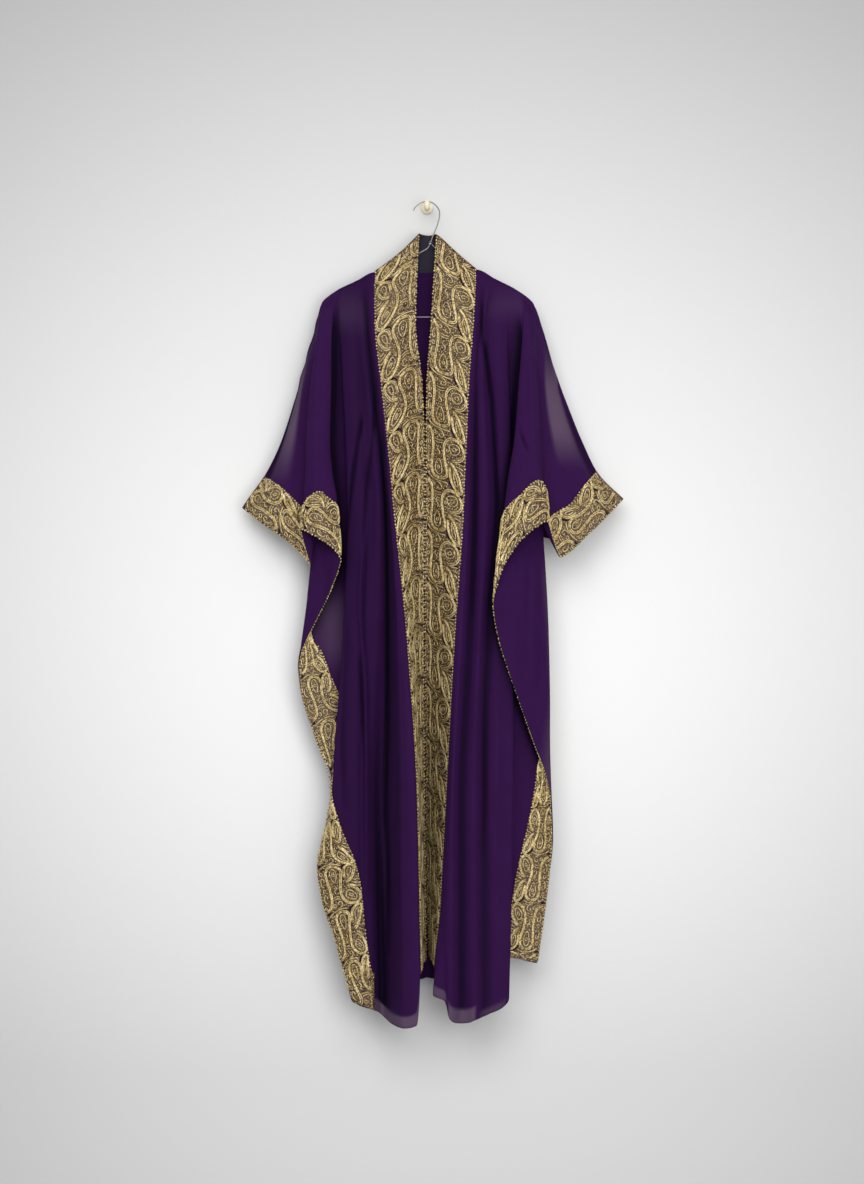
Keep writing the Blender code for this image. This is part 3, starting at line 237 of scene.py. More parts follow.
RIGHT_FOLDS = (
    ("inner_edge", (1.8, -6.0), (0.8, -0.05, -0.25, -0.3, -0.3, -0.4, -0.2, 0.3),
     (7.0, 6.1, 5.5, 5.3, 5.2, 5.0, 4.8, 4.8)),
    ("valley_turn", (2.8, -6.7), (1.9, 0.9, 0.6, 0.55, 0.5, 0.3, 0.4, 0.8),
     (7.2, 6.3, 5.6, 5.4, 5.3, 5.1, 4.9, 4.9)),
    ("band_middle", (5.0, -8.7), (5.2, 4.4, 4.0, 3.8, 3.6, 2.6, 1.9, 1.2),
     (8.6, 8.9, 9.0, 9.1, 9.2, 8.9, 8.6, 8.6)),
    ("band_outer", (9.8, -12.8), (9.3, 8.4, 7.9, 7.6, 7.4, 5.7, 3.9, 1.6),
     (9.4, 10.8, 11.4, 11.6, 11.8, 12.6, 13.4, 12.4)),
    ("ridge_a", (10.8, -13.35), (10.1, 9.3, 8.8, 8.5, 8.3, 6.8, 5.0, 4.6),
     (9.0, 10.4, 11.0, 11.3, 11.6, 13.0, 14.8, 14.8)),
    ("valley_a", (11.8, -13.85), (10.8, 9.9, 9.7, 9.65, 9.6, 8.6, 7.0, 7.0),
     (8.0, 9.4, 9.8, 10.0, 10.2, 11.4, 12.8, 12.6)),
    ("ridge_b", (12.8, -14.35), (11.4, 11.0, 11.4, 11.5, 11.6, 10.4, 9.2, 9.4),
     (8.2, 9.6, 10.2, 10.5, 10.8, 12.6, 13.8, 13.6)),
    ("valley_b", (13.8, -14.85), (11.9, 12.5, 13.2, 13.6, 14.0, 12.4, 11.6, 11.6),
     (7.4, 8.4, 8.8, 9.0, 9.1, 10.2, 11.6, 11.9)),
    ("ridge_c", (15.4, -15.65), (13.6, 14.4, 14.8, 15.0, 15.2, 14.6, 14.0, 14.0),
     (7.8, 9.0, 9.4, 9.5, 9.6, 10.7, 12.3, 12.4)),
    ("body_fold", (16.8, -16.35), (15.8, 16.3, 16.7, 16.85, 17.0, 17.2, 17.0, 16.3),
     (7.4, 8.2, 8.5, 8.6, 8.8, 9.6, 11.4, 11.8)),
    ("body_return", (17.4, -16.65), (16.6, 16.2, 15.6, 15.3, 15.0, 15.2, 15.6, 16.0),
     (7.0, 7.2, 7.1, 7.0, 7.0, 7.4, 8.6, 9.4)),
    ("side_middle", (18.0, -17.1), (18.2, 19.2, 20.2, 20.4, 20.6, 21.2, 22.2, 21.4),
     (6.4, 6.4, 6.2, 6.0, 6.0, 6.0, 6.6, 8.2)),
    ("side_turn", (18.6, -17.45), (18.9, 20.6, 22.0, 22.4, 22.8, 24.3, 24.9, 25.6),
     (6.8, 7.4, 7.6, 7.6, 7.6, 7.8, 8.0, 9.0)),
    ("turned_middle", (19.1, -17.8), (19.2, 19.7, 19.7, 19.5, 19.2, 18.8, 20.2, 22.0),
     (7.2, 8.8, 9.6, 9.9, 10.2, 10.4, 10.2, 10.2)),
    ("flap_fold", (19.6, -18.1), (19.3, 18.3, 17.3, 16.3, 15.5, 13.1, 13.4, 14.0),
     (7.8, 10.4, 11.6, 12.0, 12.4, 12.8, 12.8, 12.8)),
    ("flap_middle", (20.6, -18.9), (20.2, 20.3, 20.3, 20.1, 19.6, 18.0, 18.0, 18.0),
     (8.4, 11.4, 13.0, 13.6, 14.2, 14.6, 14.6, 14.6)),
    ("flap_edge", (21.4, -19.8), (21.2, 22.0, 22.6, 23.0, 24.8, 26.4, 28.0, 30.0),
     (8.0, 10.4, 11.8, 12.4, 13.0, 13.2, 13.2, 13.2)),
    ("sleeve_valley", (22.0, -21.6), (22.0, 21.6, 21.2, 21.3, 21.8, 34.0, 40.0, 44.0),
     (7.2, 9.2, 10.2, 10.6, 11.0, 11.0, 11.0, 11.0)),
    ("cuff_inner", (23.4, -25.4), (22.6, 23.6, 25.2, 26.6, 27.8, 38.0, 44.0, 48.0),
     (6.0, 7.8, 8.4, 8.7, 8.9, 8.8, 8.8, 8.8)),
    ("cuff_outer", (25.4, -32.4), (23.4, 25.6, 28.4, 30.8, 33.2, 44.0, 50.0, 54.0),
     (5.4, 6.6, 7.4, 7.7, 8.0, 7.8, 7.8, 7.8)),
    ("sleeve_top", (27.0, -37.0), (23.6, 26.9, 31.4, 34.3, 40.2, 60.0, 70.0, 76.0),
     (4.6,) * 8),
)

# The lower edge: hem, then side edge, then sleeve edge. One row for each column of the panel:
# position among the folds, edge (x, height), height of the side band's inner edge
LEFT_EDGE = (
    (0.0, (-0.1, -152.0), -144.0),
    (1.0, (-0.7, -152.2), -144.0),
    (1.5, (-0.9, -152.3), -144.0),
    (2.0, (-1.2, -152.6), -144.5),
    (2.5, (-1.2, -152.8), -145.5),
    (3.0, (-1.35, -153.4), -146.5),
    (3.25, (-1.5, -158.4), -149.0),
    (3.5, (-2.0, -163.5), -152.0),
    (4.0, (-4.4, -164.1), -154.0),
    (4.5, (-6.8, -163.7), -154.0),
    (5.0, (-8.8, -162.4), -154.0),
    (5.5, (-9.8, -161.4), -153.5),
    (6.0, (-10.6, -160.9), -153.5),
    (6.75, (-11.7, -160.5), -146.4),
    (7.3, (-12.6, -160.2), -136.0),
    (7.8, (-13.1, -160.0), -131.8),
    (8.27, (-13.8, -159.6), -127.6),
    (8.75, (-14.8, -159.1), -120.4),
    (9.0, (-16.2, -154.0), -117.0),
    (9.3, (-17.4, -150.4), -113.4),
    (9.6, (-18.2, -146.8), -109.8),
    (9.9, (-19.9, -142.6), -106.4),
    (10.2, (-21.0, -138.4), -102.4),
    (10.5, (-21.8, -132.8), -99.4),
    (10.8, (-21.0, -128.2), -96.4),
    (11.0, (-19.6, -121.4), -93.8),
    (11.2, (-19.2, -115.2), -90.4),
    (11.45, (-21.4, -109.8), -87.0),
    (11.6, (-23.2, -104.6), -84.4),
    (11.8, (-25.2, -98.0), -81.8),
    (11.85, (-25.8, -93.2), -80.9),
    (12.0, (-25.4, -90.4), -79.4),
    (12.3, (-24.0, -87.0), -77.4),
    (12.65, (-22.1, -83.2), -74.8),
    (13.0, (-20.2, -79.5), -71.4),
    (13.5, (-18.8, -76.2), -66.8),
    (13.8, (-17.8, -73.6), -63.6),
    (14.0, (-17.3, -71.6), -61.4),
    (14.2, (-17.9, -70.2), -60.4),
    (14.5, (-19.2, -68.8), -59.4),
    (15.0, (-21.3, -67.3), -57.8),
    (15.5, (-23.6, -66.0), -58.8),
    (16.0, (-25.0, -65.2), -61.0),
    (16.5, (-24.2, -68.6), -63.8),
    (17.0, (-23.0, -72.6), -66.0),
    (17.5, (-24.8, -70.4), -61.8),
    (18.0, (-27.4, -68.0), -59.2),
    (19.0, (-32.8, -64.2), -56.0),
    (20.0, (-37.2, -60.9), -54.6),
)

RIGHT_EDGE = (
    (0.0, (0.3, -151.0), -143.0),
    (1.0, (0.8, -151.2), -143.0),
    (1.5, (0.9, -151.3), -143.0),
    (2.0, (1.1, -151.4), -143.5),
    (2.5, (1.3, -151.6), -144.0),
    (3.0, (1.6, -152.4), -145.0),
    (3.25, (1.2, -157.6), -148.0),
    (3.5, (3.5, -158.8), -150.0),
    (4.0, (4.5, -162.3), -153.0),
    (4.5, (5.8, -163.2), -154.0),
    (5.0, (7.0, -163.4), -154.0),
    (5.5, (8.4, -163.2), -154.0),
    (6.0, (9.4, -162.7), -154.0),
    (6.5, (10.6, -162.3), -153.5),
    (7.0, (11.6, -162.0), -153.0),
    (7.5, (12.8, -161.4), -152.5),
    (8.0, (14.0, -160.9), -152.0),
    (8.5, (15.4, -160.0), -151.5),
    (9.0, (16.3, -158.6), -150.5),
    (9.6, (15.8, -155.0), -148.5),
    (10.15, (16.4, -150.7), -146.0),
    (10.3, (17.2, -150.9), -140.0),
    (10.5, (18.6, -151.2), -131.6),
    (10.7, (19.8, -151.6), -124.2),
    (10.85, (20.8, -151.8), -118.2),
    (11.0, (21.9, -152.0), -113.0),
    (11.2, (22.8, -147.4), -110.0),
    (11.4, (23.9, -139.6), -107.2),
    (11.6, (24.6, -133.6), -104.6),
    (11.8, (25.2, -127.0), -102.4),
    (12.0, (24.9, -119.8), -100.4),
    (12.25, (23.8, -114.2), -97.0),
    (12.6, (21.8, -109.0), -92.0),
    (13.0, (19.2, -101.8), -86.0),
    (13.5, (15.9, -92.3), -75.0),
    (13.7, (14.6, -88.2), -70.4),
    (14.0, (13.3, -80.6), -63.4),
    (14.25, (14.8, -74.0), -61.3),
    (14.7, (18.0, -68.4), -58.8),
    (15.0, (19.6, -66.6), -57.0),
    (15.5, (21.8, -64.9), -55.6),
    (16.0, (23.6, -63.8), -56.4),
    (16.5, (24.8, -67.2), -60.6),
    (17.0, (26.6, -70.9), -64.8),
    (17.5, (29.0, -69.4), -62.2),
    (18.0, (31.2, -67.3), -60.4),
    (19.0, (35.4, -63.3), -55.9),
    (20.0, (39.5, -59.1), -53.6),
)
# Near the lower edge the columns lean, so that they cross the side band squarely.
# One row for each knot: position at the lower edge, position at the side band's inner edge
LEFT_LEAN = ((0, 0), (3, 3), (5.5, 5.5), (8.75, 7.2), (9.9, 8.1), (10.5, 8.9), (11.0, 9.7), (11.45, 10.5),
             (11.8, 11.3), (12.0, 11.7), (12.65, 12.4), (14, 14), (15, 15), (20, 20))
RIGHT_LEAN = ((0, 0), (3, 3), (9.0, 9.0), (10.15, 9.7), (11.0, 10.3), (11.4, 10.8), (11.8, 11.3),
              (12.0, 11.6), (12.6, 12.15), (13.0, 12.5), (13.5, 13.1), (13.7, 13.45), (14, 14), (15, 15),
              (20, 20))
CLOTH_WALL = 0.09
HANGER_DEPTH = 4.5  # the plane of the shoulder seam
SEAM_SPREAD = 0.065  # each layer's distance from that plane, in the seam
SEAM_STAND, STAND_SLOPE = 1.4, 0.15  # this far down the cloth still stands up off the seam
SHOULDER_RISE = 10.0  # and over this fall it comes out to its own folds
OVERARM_EASE = 0.9  # within so much of a fold of the overarm seam the two layers close on each other
FRONT_PULL = 13.0  # how far above the lower edge the cloth follows the shape of that edge
CREASE_FEATHER = 0.5  # over this much of a fold a crease fades out at the ends of its layer
SMALL_STEP = 0.55  # the widest that a column of the fine grid may be
WIDE_SHARE = 0.8  # a column counts as wide as the widest of this share of its rows
COLUMNS_BETWEEN = (2, 14)  # the fewest and the most columns from one row of the table to the next
COARSE_ROWS = (15, 5)  # of the rough grid that the widths are measured on
PANEL_ROWS, BAND_ROWS = 112, 20  # above the side band's inner edge, and on the band
TINY = 1e-12


def bent(t, start, end, step, slope, next_slope):
    """A cubic from one value to the next over a step, with its slope given at both."""
    return (
        (1 + 2 * t) * (1 - t) ** 2 * start
        + t * (1 - t) ** 2 * step * slope
        + t * t * (3 - 2 * t) * end
        + t * t * (t - 1) * step * next_slope
    )


def through(knots, values, at):
    """A smooth curve through the values that never swings past them."""
    knots, values = np.asarray(knots, float), np.asarray(values, float)
    steps = np.diff(knots)
    slopes = np.diff(values) / steps
    bends = np.empty(len(knots))
    bends[0], bends[-1] = slopes[0], slopes[-1]
    for i in range(1, len(knots) - 1):
        before, after = slopes[i - 1], slopes[i]
        wide, narrow = 2 * steps[i] + steps[i - 1], steps[i] + 2 * steps[i - 1]
        bends[i] = (wide + narrow) / (wide / before + narrow / after) if before * after > 0 else 0.0
    at = np.clip(at, knots[0], knots[-1])
    i = np.clip(np.searchsorted(knots, at, side="right") - 1, 0, len(steps) - 1)
    return bent((at - knots[i]) / steps[i], values[i], values[i + 1], steps[i], bends[i], bends[i + 1])


def between_folds(values, position):
    """The same curve across the folds: values[fold, point] read at each point's own position."""
    slopes = np.diff(values, axis=0)
    before, after = slopes[:-1], slopes[1:]
    together = np.where(np.abs(before + after) > TINY, before + after, 1.0)
    inner = np.where(before * after > 0, 2 * before * after / together, 0.0)
    bends = np.concatenate([slopes[:1], inner, slopes[-1:]])
    i = np.clip(position.astype(int), 0, len(values) - 2)
    n = np.arange(len(position))
    return bent(position - i, values[i, n], values[i + 1, n], 1.0, bends[i, n], bends[i + 1, n])


def ease_out(t):
    return 1 - (1 - np.clip(t, 0, 1)) ** 2


def ease_both(t):
    t = np.clip(t, 0, 1)
    return t * t * (3 - 2 * t)


def within(at, first, last, feather):
    """1 between the two ends, 0 beyond them, and eased over the feather inside each end."""
    return ease_both((at - first) / feather) * ease_both((last - at) / feather)


def unit(vectors):
    return vectors / np.maximum(np.linalg.norm(vectors, axis=-1, keepdims=True), TINY)


class HungCloth:
    """A hung panel: its folds give x and depth at any position among them and any height."""

    def __init__(self, folds, top_depth, stand_slope, edge_pull, creases=()):
        self.tops = np.array([(*top, top_depth)[:3] for _, top, _, _ in folds])
        self.stand_slope, self.edge_pull, self.creases = stand_slope, edge_pull, creases
        self.lines = []
        for (_, top, across, deep), (top_x, top_height, _) in zip(folds, self.tops):
            below = [i for i, height in enumerate(STATIONS) if height < top_height - 1]
            falls = [-top_height] + [-STATIONS[i] for i in below]
            xs = [top_x] + [across[i] for i in below]
            depths = [deep[below[0]]] + [deep[i] for i in below]
            self.lines.append((falls, xs, depths))

    def top(self, position):
        knots = np.arange(len(self.tops))
        return [through(knots, self.tops[:, i], position) for i in range(3)]

    def free(self, position, height):
        """x and depth before the lower edge's own shape is added."""
        xs = np.array([through(falls, across, -height) for falls, across, _ in self.lines])
        depths = np.array([through(falls, deep, -height) for falls, _, deep in self.lines])
        _, top_height, top_depth = self.top(position)
        fall = np.maximum(top_height - height, 0.0)
        depth = between_folds(depths, position)
        x = between_folds(xs, position)
        for crease in self.creases:
            depth = depth + crease_depth(crease, x, position, height)
        rise = ease_out((fall - SEAM_STAND) / SHOULDER_RISE)
        depth = top_depth + self.stand_slope * np.minimum(fall, SEAM_STAND) + (depth - top_depth) * rise
        near_seam = 1 - ease_both((len(self.lines) - 1 - position) / OVERARM_EASE)
        away = 1 - near_seam * ease_both(fall / SEAM_STAND)
        return x, top_depth + (depth - top_depth) * away

    def points(self, position, edge, inner, band, panel_rows, band_rows, edge_depth=None):
        """points[column, row] in metres: straight down at the inner position, then out to the edge."""
        edge_x, edge_height = edge
        top_x, top_height, top_depth = self.top(inner)
        free_x, free_depth = self.free(position, edge_height)
        down = np.concatenate([np.linspace(0, 1, panel_rows + 1), np.linspace(1, 2, band_rows + 1)[1:]])
        grid = np.empty((len(position), len(down), 3))
        for j, t in enumerate(down):
            upper, lower = min(t, 1.0), max(t - 1.0, 0.0)
            height = top_height + (band - top_height) * upper + (edge_height - band) * lower
            x, depth = self.free(inner + (position - inner) * lower, height)
            pull = ease_both(1 - (height - edge_height) / self.edge_pull)
            x = x + (edge_x - free_x) * pull
            if edge_depth is not None:
                depth = depth + (edge_depth - free_depth) * pull
            grid[:, j] = np.stack([x, -depth, height], -1)
        grid[:, 0] = np.stack([top_x, -top_depth, top_height], -1)
        return grid * CM


def crease_depth(crease, x, position, height):
    """A crease: a soft ridge or furrow along a line of (x, height) on one layer."""
    _, (first, last), line, width, lift = crease
    xs, heights = zip(*line)
    middle = through([-h for h in heights], xs, -height)
    run = np.clip((heights[0] - height) / (heights[0] - heights[-1]), 0, 1)
    on_layer = within(position, first, last, CREASE_FEATHER)
    return lift * np.sin(np.pi * run) ** 0.5 * on_layer * np.exp(-(((x - middle) / width) ** 2))


def facing_out(grid, sign):
    """The direction out of the right side at each point, the mean of the cells around it."""
    total = np.zeros_like(grid)
    side, drop = np.diff(grid, axis=0), np.diff(grid, axis=1)
    for di in (0, 1):
        for dj in (0, 1):
            a = side[:, dj:grid.shape[1] - 1 + dj]
            b = drop[di:grid.shape[0] - 1 + di]
            total[di:grid.shape[0] - 1 + di, dj:grid.shape[1] - 1 + dj] += unit(np.cross(a, b))
    return unit(total) * sign


def fine_positions(knots, coarse):
    """The table's own positions, and as many between them as the cloth is wide there."""
    widths = np.quantile(np.linalg.norm(np.diff(coarse, axis=0), axis=-1), WIDE_SHARE, axis=1) / CM
    fine = []
    for a, b, width in zip(knots, knots[1:], widths):
        columns = int(np.clip(math.ceil(width / SMALL_STEP), *COLUMNS_BETWEEN))
        fine += list(np.linspace(a, b, columns + 1)[:-1])
    return np.array(fine + [knots[-1]])


def lengths_along(points, axis):
    """How far each point is from the first along an axis, in centimetres, over the surface."""
    steps = np.linalg.norm(np.diff(points, axis=axis), axis=-1) / CM
    start = np.zeros_like(np.take(steps, [0], axis=axis))
    return np.concatenate([start, np.cumsum(steps, axis=axis)], axis=axis)


def laid_flat(grid):
    """Each point's place on the cloth when it lies flat, in centimetres."""
    return np.stack([lengths_along(grid, 0), lengths_along(grid, 1)], -1)


def unwrap(made, name, flat):
    """A UV map that gives each point its flat place. A shell's other face has the same places."""
    mesh = made.data
    corner = np.empty(len(mesh.loops), dtype=np.int32)
    mesh.loops.foreach_get("vertex_index", corner)
    layer = mesh.uv_layers.new(name=name)
    layer.data.foreach_set("uv", flat[corner % len(flat)].astype(np.float32).ravel())


def cloth_shell(name, grid, out, sign, wall, finish, flat):
    """A closed shell of one thickness through a grid of points, with their flat places as its UV map."""
    across, down = grid.shape[:2]
    count = across * down
    half = out * wall / 2 * CM
    spots = np.concatenate([(grid + half).reshape(-1, 3), (grid - half).reshape(-1, 3)])
    index = np.arange(count).reshape(across, down)
    a, b, c, d = index[:-1, :-1], index[1:, :-1], index[1:, 1:], index[:-1, 1:]
    over = np.stack([a, b, c, d], -1).reshape(-1, 4)
    ring = np.concatenate([index[:-1, 0], index[-1, :-1], index[:0:-1, -1], index[0, :0:-1]])
    after = np.roll(ring, -1)
    rim = np.stack([after, ring, ring + count, after + count], -1)
    faces = np.concatenate([over, over[:, ::-1] + count, rim])
    if sign < 0:
        faces = faces[:, ::-1]
    made = smooth_object(name, spots.tolist(), faces.tolist(), finish)
    unwrap(made, "cut_cloth", flat.reshape(-1, 2))
    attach(made, "root")
    return made


def paint(made, name, values):
    """A value from 0 to 1 for each point, and for a shell's other face too."""
    layer = made.data.attributes.new(name, "FLOAT", "POINT")
    faces = len(made.data.vertices) // values.size
    layer.data.foreach_set("value", np.tile(values.ravel(), faces).astype(np.float32))


def place_on_cut(tree):
    """Where a point lies on the flat cloth, in centimetres."""
    return add_node(tree, "UVMap", uv_map="cut_cloth").outputs["UV"]


def painted(tree, name):
    return add_node(tree, "Attribute", attribute_name=name).outputs["Fac"]


def blended(tree, share, low, high, **values):
    """The low colour where the share is 0 and the high one where it is 1. Each may be an output."""
    low, high = (c if isinstance(c, bpy.types.NodeSocket) else (*c, 1) for c in (low, high))
    return add_node(tree, "Mix", data_type="RGBA", Factor=share, A=low, B=high, **values).outputs["Result"]


def reckoned(tree, operation, first, second):
    node = add_node(tree, "Math", operation=operation)
    tree.links.new(first, node.inputs[0])
    tree.links.new(second, node.inputs[1])
    return node.outputs["Value"]


def emboss(tree, shader, height, strength, distance):
    relief = add_node(tree, "Bump", Height=height, Strength=strength, Distance=distance)
    set_up(tree, shader, Normal=relief.outputs["Normal"])


# Painted shade, dark where a fold lies deep, beside the turned flaps and over the chest; greyer where one
# layer hangs before the wall, and finely crinkled
chiffon, tree, shader = plain_material("purple_chiffon", (0.026, 0.006, 0.047), 0.78, Sheen_Weight=0.02,
                                       Sheen_Roughness=0.45, Sheen_Tint=(0.55, 0.35, 0.75, 1.0),
                                       Specular_IOR_Level=0.07)
cut = place_on_cut(tree)
dye = blended(tree, speckle(tree, cut, 0.16, 2.0), (0.0235, 0.0036, 0.043), (0.031, 0.0056, 0.054))
shaded_dye = blended(tree, painted(tree, "in_fold"), dye, (0.0035, 0.0005, 0.009))
veiled = blended(tree, painted(tree, "single_layer"), shaded_dye, (0.090, 0.056, 0.100))
set_up(tree, shader, Base_Color=veiled)
threads = [add_node(tree, "TexWave", wave_type="BANDS", bands_direction=way, Vector=cut, Scale=5.2,
                    Distortion=0.6).outputs["Fac"] for way in "XY"]
weave = reckoned(tree, "ADD", *threads)
crepe = reckoned(tree, "ADD", weave, speckle(tree, cut, 9.0, 3.0, Roughness=0.6))
emboss(tree, shader, crepe, 0.25, 0.0004)

EVEN_STEP, FOLD_REACHES = 0.2, ((10, 0.9), (22, 0.35))  # reaches: steps to each side, weight
FLAP_FOLD, SIDE_TURN = 14, 12  # these folds' places in the tables
FLAP_SHADES = ((0.75, 1.1), (0.30, 3.2))  # strength, width
FLAP_SHADE_TOP, FLAP_SHADE_FEATHER, FLAP_LAP = -20, 6, 1.2
# Painted shade over each front's chest between these two positions, much darker on the left
PLEATS_FROM, PLEATS_TO = (3.2, 1.0), (10.6, 1.2)  # position, feather
PLEAT_SHADE = {"left": 0.32, "right": 0.06}
HEM_FEATHER = 0.5


def in_fold(grid):
    """How deep each point lies below the cloth within a hand's breadth beside it, from 0 to 1: the painted
    shade of a fold.
    """
    depth = -grid[..., 1] / CM
    run = lengths_along(grid, 0)
    deeper = np.zeros_like(depth)
    for j in range(depth.shape[1]):
        even = np.arange(0, run[-1, j] + EVEN_STEP, EVEN_STEP)
        line = np.interp(even, run[:, j], depth[:, j])
        for reach, weight in FOLD_REACHES:
            padded = np.pad(line, reach, mode="edge")
            mean = np.convolve(padded, np.ones(2 * reach + 1) / (2 * reach + 1), "valid")
            deeper[:, j] += np.interp(run[:, j], even, mean - line) * weight
    return np.clip(deeper, 0, 1)


def veil_on(veils, position, height, above_hem):
    """Where only one layer of the chiffon hangs and the wall shows through it, from 0 to 1."""
    total = np.zeros_like(height)
    for _, (first, last), (high, low), (edge_p, edge_h), hem_only, strength in veils:
        there = within(position, first, last, edge_p) * within(height, low, high, edge_h)
        if hem_only:
            there = there * ease_both((hem_only - above_hem) / HEM_FEATHER)
        total = np.maximum(total, there * strength)
    return total


def beside_flap(folds, edge, x, height, position):
    """The shade that a front's turned flap throws on the layers behind it, close along its fold and edge."""
    edge_at = {place: point for place, point, _ in edge}
    line = [(h, across) for h, across in zip(STATIONS, folds[FLAP_FOLD][2]) if h > edge_at[FLAP_FOLD][1]]
    line += [(h, across) for place, (across, h), _ in reversed(edge) if SIDE_TURN <= place <= FLAP_FOLD]
    heights, fold_x = zip(*line)
    gap = np.abs(np.interp(-height, [-h for h in heights], fold_x)) - np.abs(x)
    near = sum(strength * np.exp(-((gap / width) ** 2)) for strength, width in FLAP_SHADES)
    near = np.where((gap > -FLAP_LAP) & (position < SIDE_TURN), near, 0)
    return near * within(height, heights[-1], FLAP_SHADE_TOP, FLAP_SHADE_FEATHER)


class FrontPanel:
    """One front's fine surface, with its columns' positions, kept for the bands that lie on it."""

    def __init__(self, side, folds, edge, lean, creases, veils, sign):
        self.side, self.sign = side, sign
        cloth = HungCloth(folds, HANGER_DEPTH + SEAM_SPREAD, STAND_SLOPE, FRONT_PULL, creases)
        knots = np.array([row[0] for row in edge])
        edge_x, edge_height, band_height = np.array([(*row[1], row[2]) for row in edge]).T

        def surface(at, panel_rows, band_rows):
            lower_edge = through(knots, edge_x, at), through(knots, edge_height, at)
            inner = through(*zip(*lean), at)
            band = through(knots, band_height, inner)
            return cloth.points(at, lower_edge, inner, band, panel_rows, band_rows)

        self.positions = fine_positions(knots, surface(knots, *COARSE_ROWS))
        self.grid = surface(self.positions, PANEL_ROWS, BAND_ROWS)
        self.out = facing_out(self.grid, sign)
        self.panel = cloth_shell(f"chiffon_front_{side}", self.grid, self.out, sign, CLOTH_WALL, chiffon,
                                 laid_flat(self.grid))
        height = self.grid[..., 2] / CM
        leaning = np.clip(np.linspace(0, 2, self.grid.shape[1]) - 1, 0, 1)
        inner = through(*zip(*lean), self.positions)[:, None]
        at = inner + (self.positions[:, None] - inner) * leaning
        paint(self.panel, "single_layer", veil_on(veils, at, height, height - height[:, -1:]))
        painted_pleat_shade = (ease_both((at - PLEATS_FROM[0]) / PLEATS_FROM[1])
                  * ease_both((PLEATS_TO[0] - at) / PLEATS_TO[1]) * PLEAT_SHADE[side])
        beside = beside_flap(folds, edge, self.grid[..., 0] / CM, height, at)
        # Painted shade in the chiffon's colour: deep folds, beside the flap and over the chest
        paint(self.panel, "in_fold", np.clip(in_fold(self.grid) + painted_pleat_shade + beside, 0, 1))
        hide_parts(f"front_panel_{side}")

    def column(self, position):
        return int(np.argmin(np.abs(self.positions - position)))


# name, first and last position of its layer, points (x, height) downwards, half width, depth
LEFT_CREASES = (
    ("armpit_line", (7.0, 10.4), ((-10.6, -28), (-11.2, -36), (-13.4, -46), (-15.0, -56), (-16.4, -68)),
     0.45, -0.8),
    ("chest_line", (3.6, 8.0), ((-10.0, -34), (-10.6, -44), (-11.9, -56), (-12.8, -70)), 0.40, -0.5),
    ("band_valley", (3.4, 6.6), ((-8.9, -40), (-8.7, -52), (-8.1, -66), (-7.9, -82), (-7.8, -100),
                                (-8.2, -118), (-7.7, -136), (-7.6, -150)), 0.50, -2.2),
    ("valley_side", (5.2, 8.6), ((-12.6, -66), (-13.2, -80), (-12.2, -98), (-12.0, -116), (-12.0, -140)),
     0.55, 1.1),
    ("hip_crease", (6.6, 9.6), ((-13.4, -90), (-13.0, -98), (-12.6, -106), (-12.3, -114)), 0.30, -0.9),
    ("outer_soft", (8.0, 10.3), ((-16.0, -84), (-16.6, -96), (-17.0, -108), (-16.4, -122)), 0.80, -0.7),
    ("ridge_soft", (2.9, 5.2), ((-6.6, -84), (-5.6, -100), (-5.2, -120), (-5.0, -146)), 0.80, 0.7),
    ("flap_soft", (14.4, 16.4), ((-21.0, -26), (-22.2, -38), (-22.4, -50), (-22.6, -62)), 0.9, 0.5),
)
RIGHT_CREASES = (
    ("chest_valley", (3.8, 7.6), ((10.8, -17), (11.0, -25), (12.2, -34), (13.3, -42), (13.9, -54),
                                  (14.2, -66)), 0.45, -1.3),
    ("band_soft", (3.1, 5.6), ((9.6, -36), (9.8, -50), (9.6, -66), (9.2, -84)), 0.9, -0.6),
    ("armpit_valley", (9.4, 10.8), ((18.4, -24), (18.2, -32), (17.6, -42), (16.4, -52), (14.6, -62),
                                    (13.6, -74)), 0.7, -0.8),
    ("elbow_crease", (14.2, 16.2), ((18.0, -44.5), (18.8, -47), (20.0, -50)), 0.28, -0.7),
    ("flap_ridge", (14.6, 16.6), ((20.6, -30), (21.0, -40), (21.6, -50), (22.6, -58)), 0.8, 0.5),
    ("skirt_line", (5.0, 9.0), ((11.6, -92), (11.4, -104), (11.4, -118), (11.2, -130)), 0.50, -0.5),
    ("skirt_soft", (7.0, 10.4), ((15.0, -84), (15.2, -104), (14.8, -126), (14.6, -146)), 1.1, -0.6),
    ("hanging_light", (11.2, 13.6), ((21.6, -70), (21.0, -84), (21.2, -96)), 0.7, 0.5),
)
# name, positions, heights, feathers (positions, height), only this near the hem, strength
LEFT_VEILS = (
    ("sleeve", (18.15, 19.7), (-24, -58), (0.5, 14), 0, 1.0),
    ("shoulder", (4.0, 11.0), (-15.5, -28), (3.0, 6.0), 0, 0.16),
    ("side", (10.4, 12.0), (-74, -96), (0.7, 9.0), 0, 0.42),
    ("hem", (3.2, 6.2), (-150, -170), (0.3, 1.0), 2.6, 0.9),
    ("hem_side", (6.2, 8.6), (-150, -170), (0.3, 1.0), 1.8, 0.7),
)
RIGHT_VEILS = (
    ("sleeve", (17.85, 19.6), (-28, -54), (0.35, 10), 0, 1.0),
    ("shoulder", (5.0, 15.0), (-15.0, -25), (4.0, 5.0), 0, 0.14),
    ("side", (11.4, 12.6), (-70, -130), (0.5, 8.0), 0, 0.45),
    ("hem", (3.7, 6.2), (-150, -170), (0.3, 1.0), 3.0, 0.95),
    ("hem_side", (6.2, 8.8), (-150, -170), (0.6, 1.0), 1.6, 0.45),
    ("hem_inner", (3.0, 3.7), (-150, -160), (0.2, 1.0), 2.2, 0.8),
)
left_front = FrontPanel("left", LEFT_FOLDS, LEFT_EDGE, LEFT_LEAN, LEFT_CREASES, LEFT_VEILS, 1)
right_front = FrontPanel("right", RIGHT_FOLDS, RIGHT_EDGE, RIGHT_LEAN, RIGHT_CREASES, RIGHT_VEILS, -1)

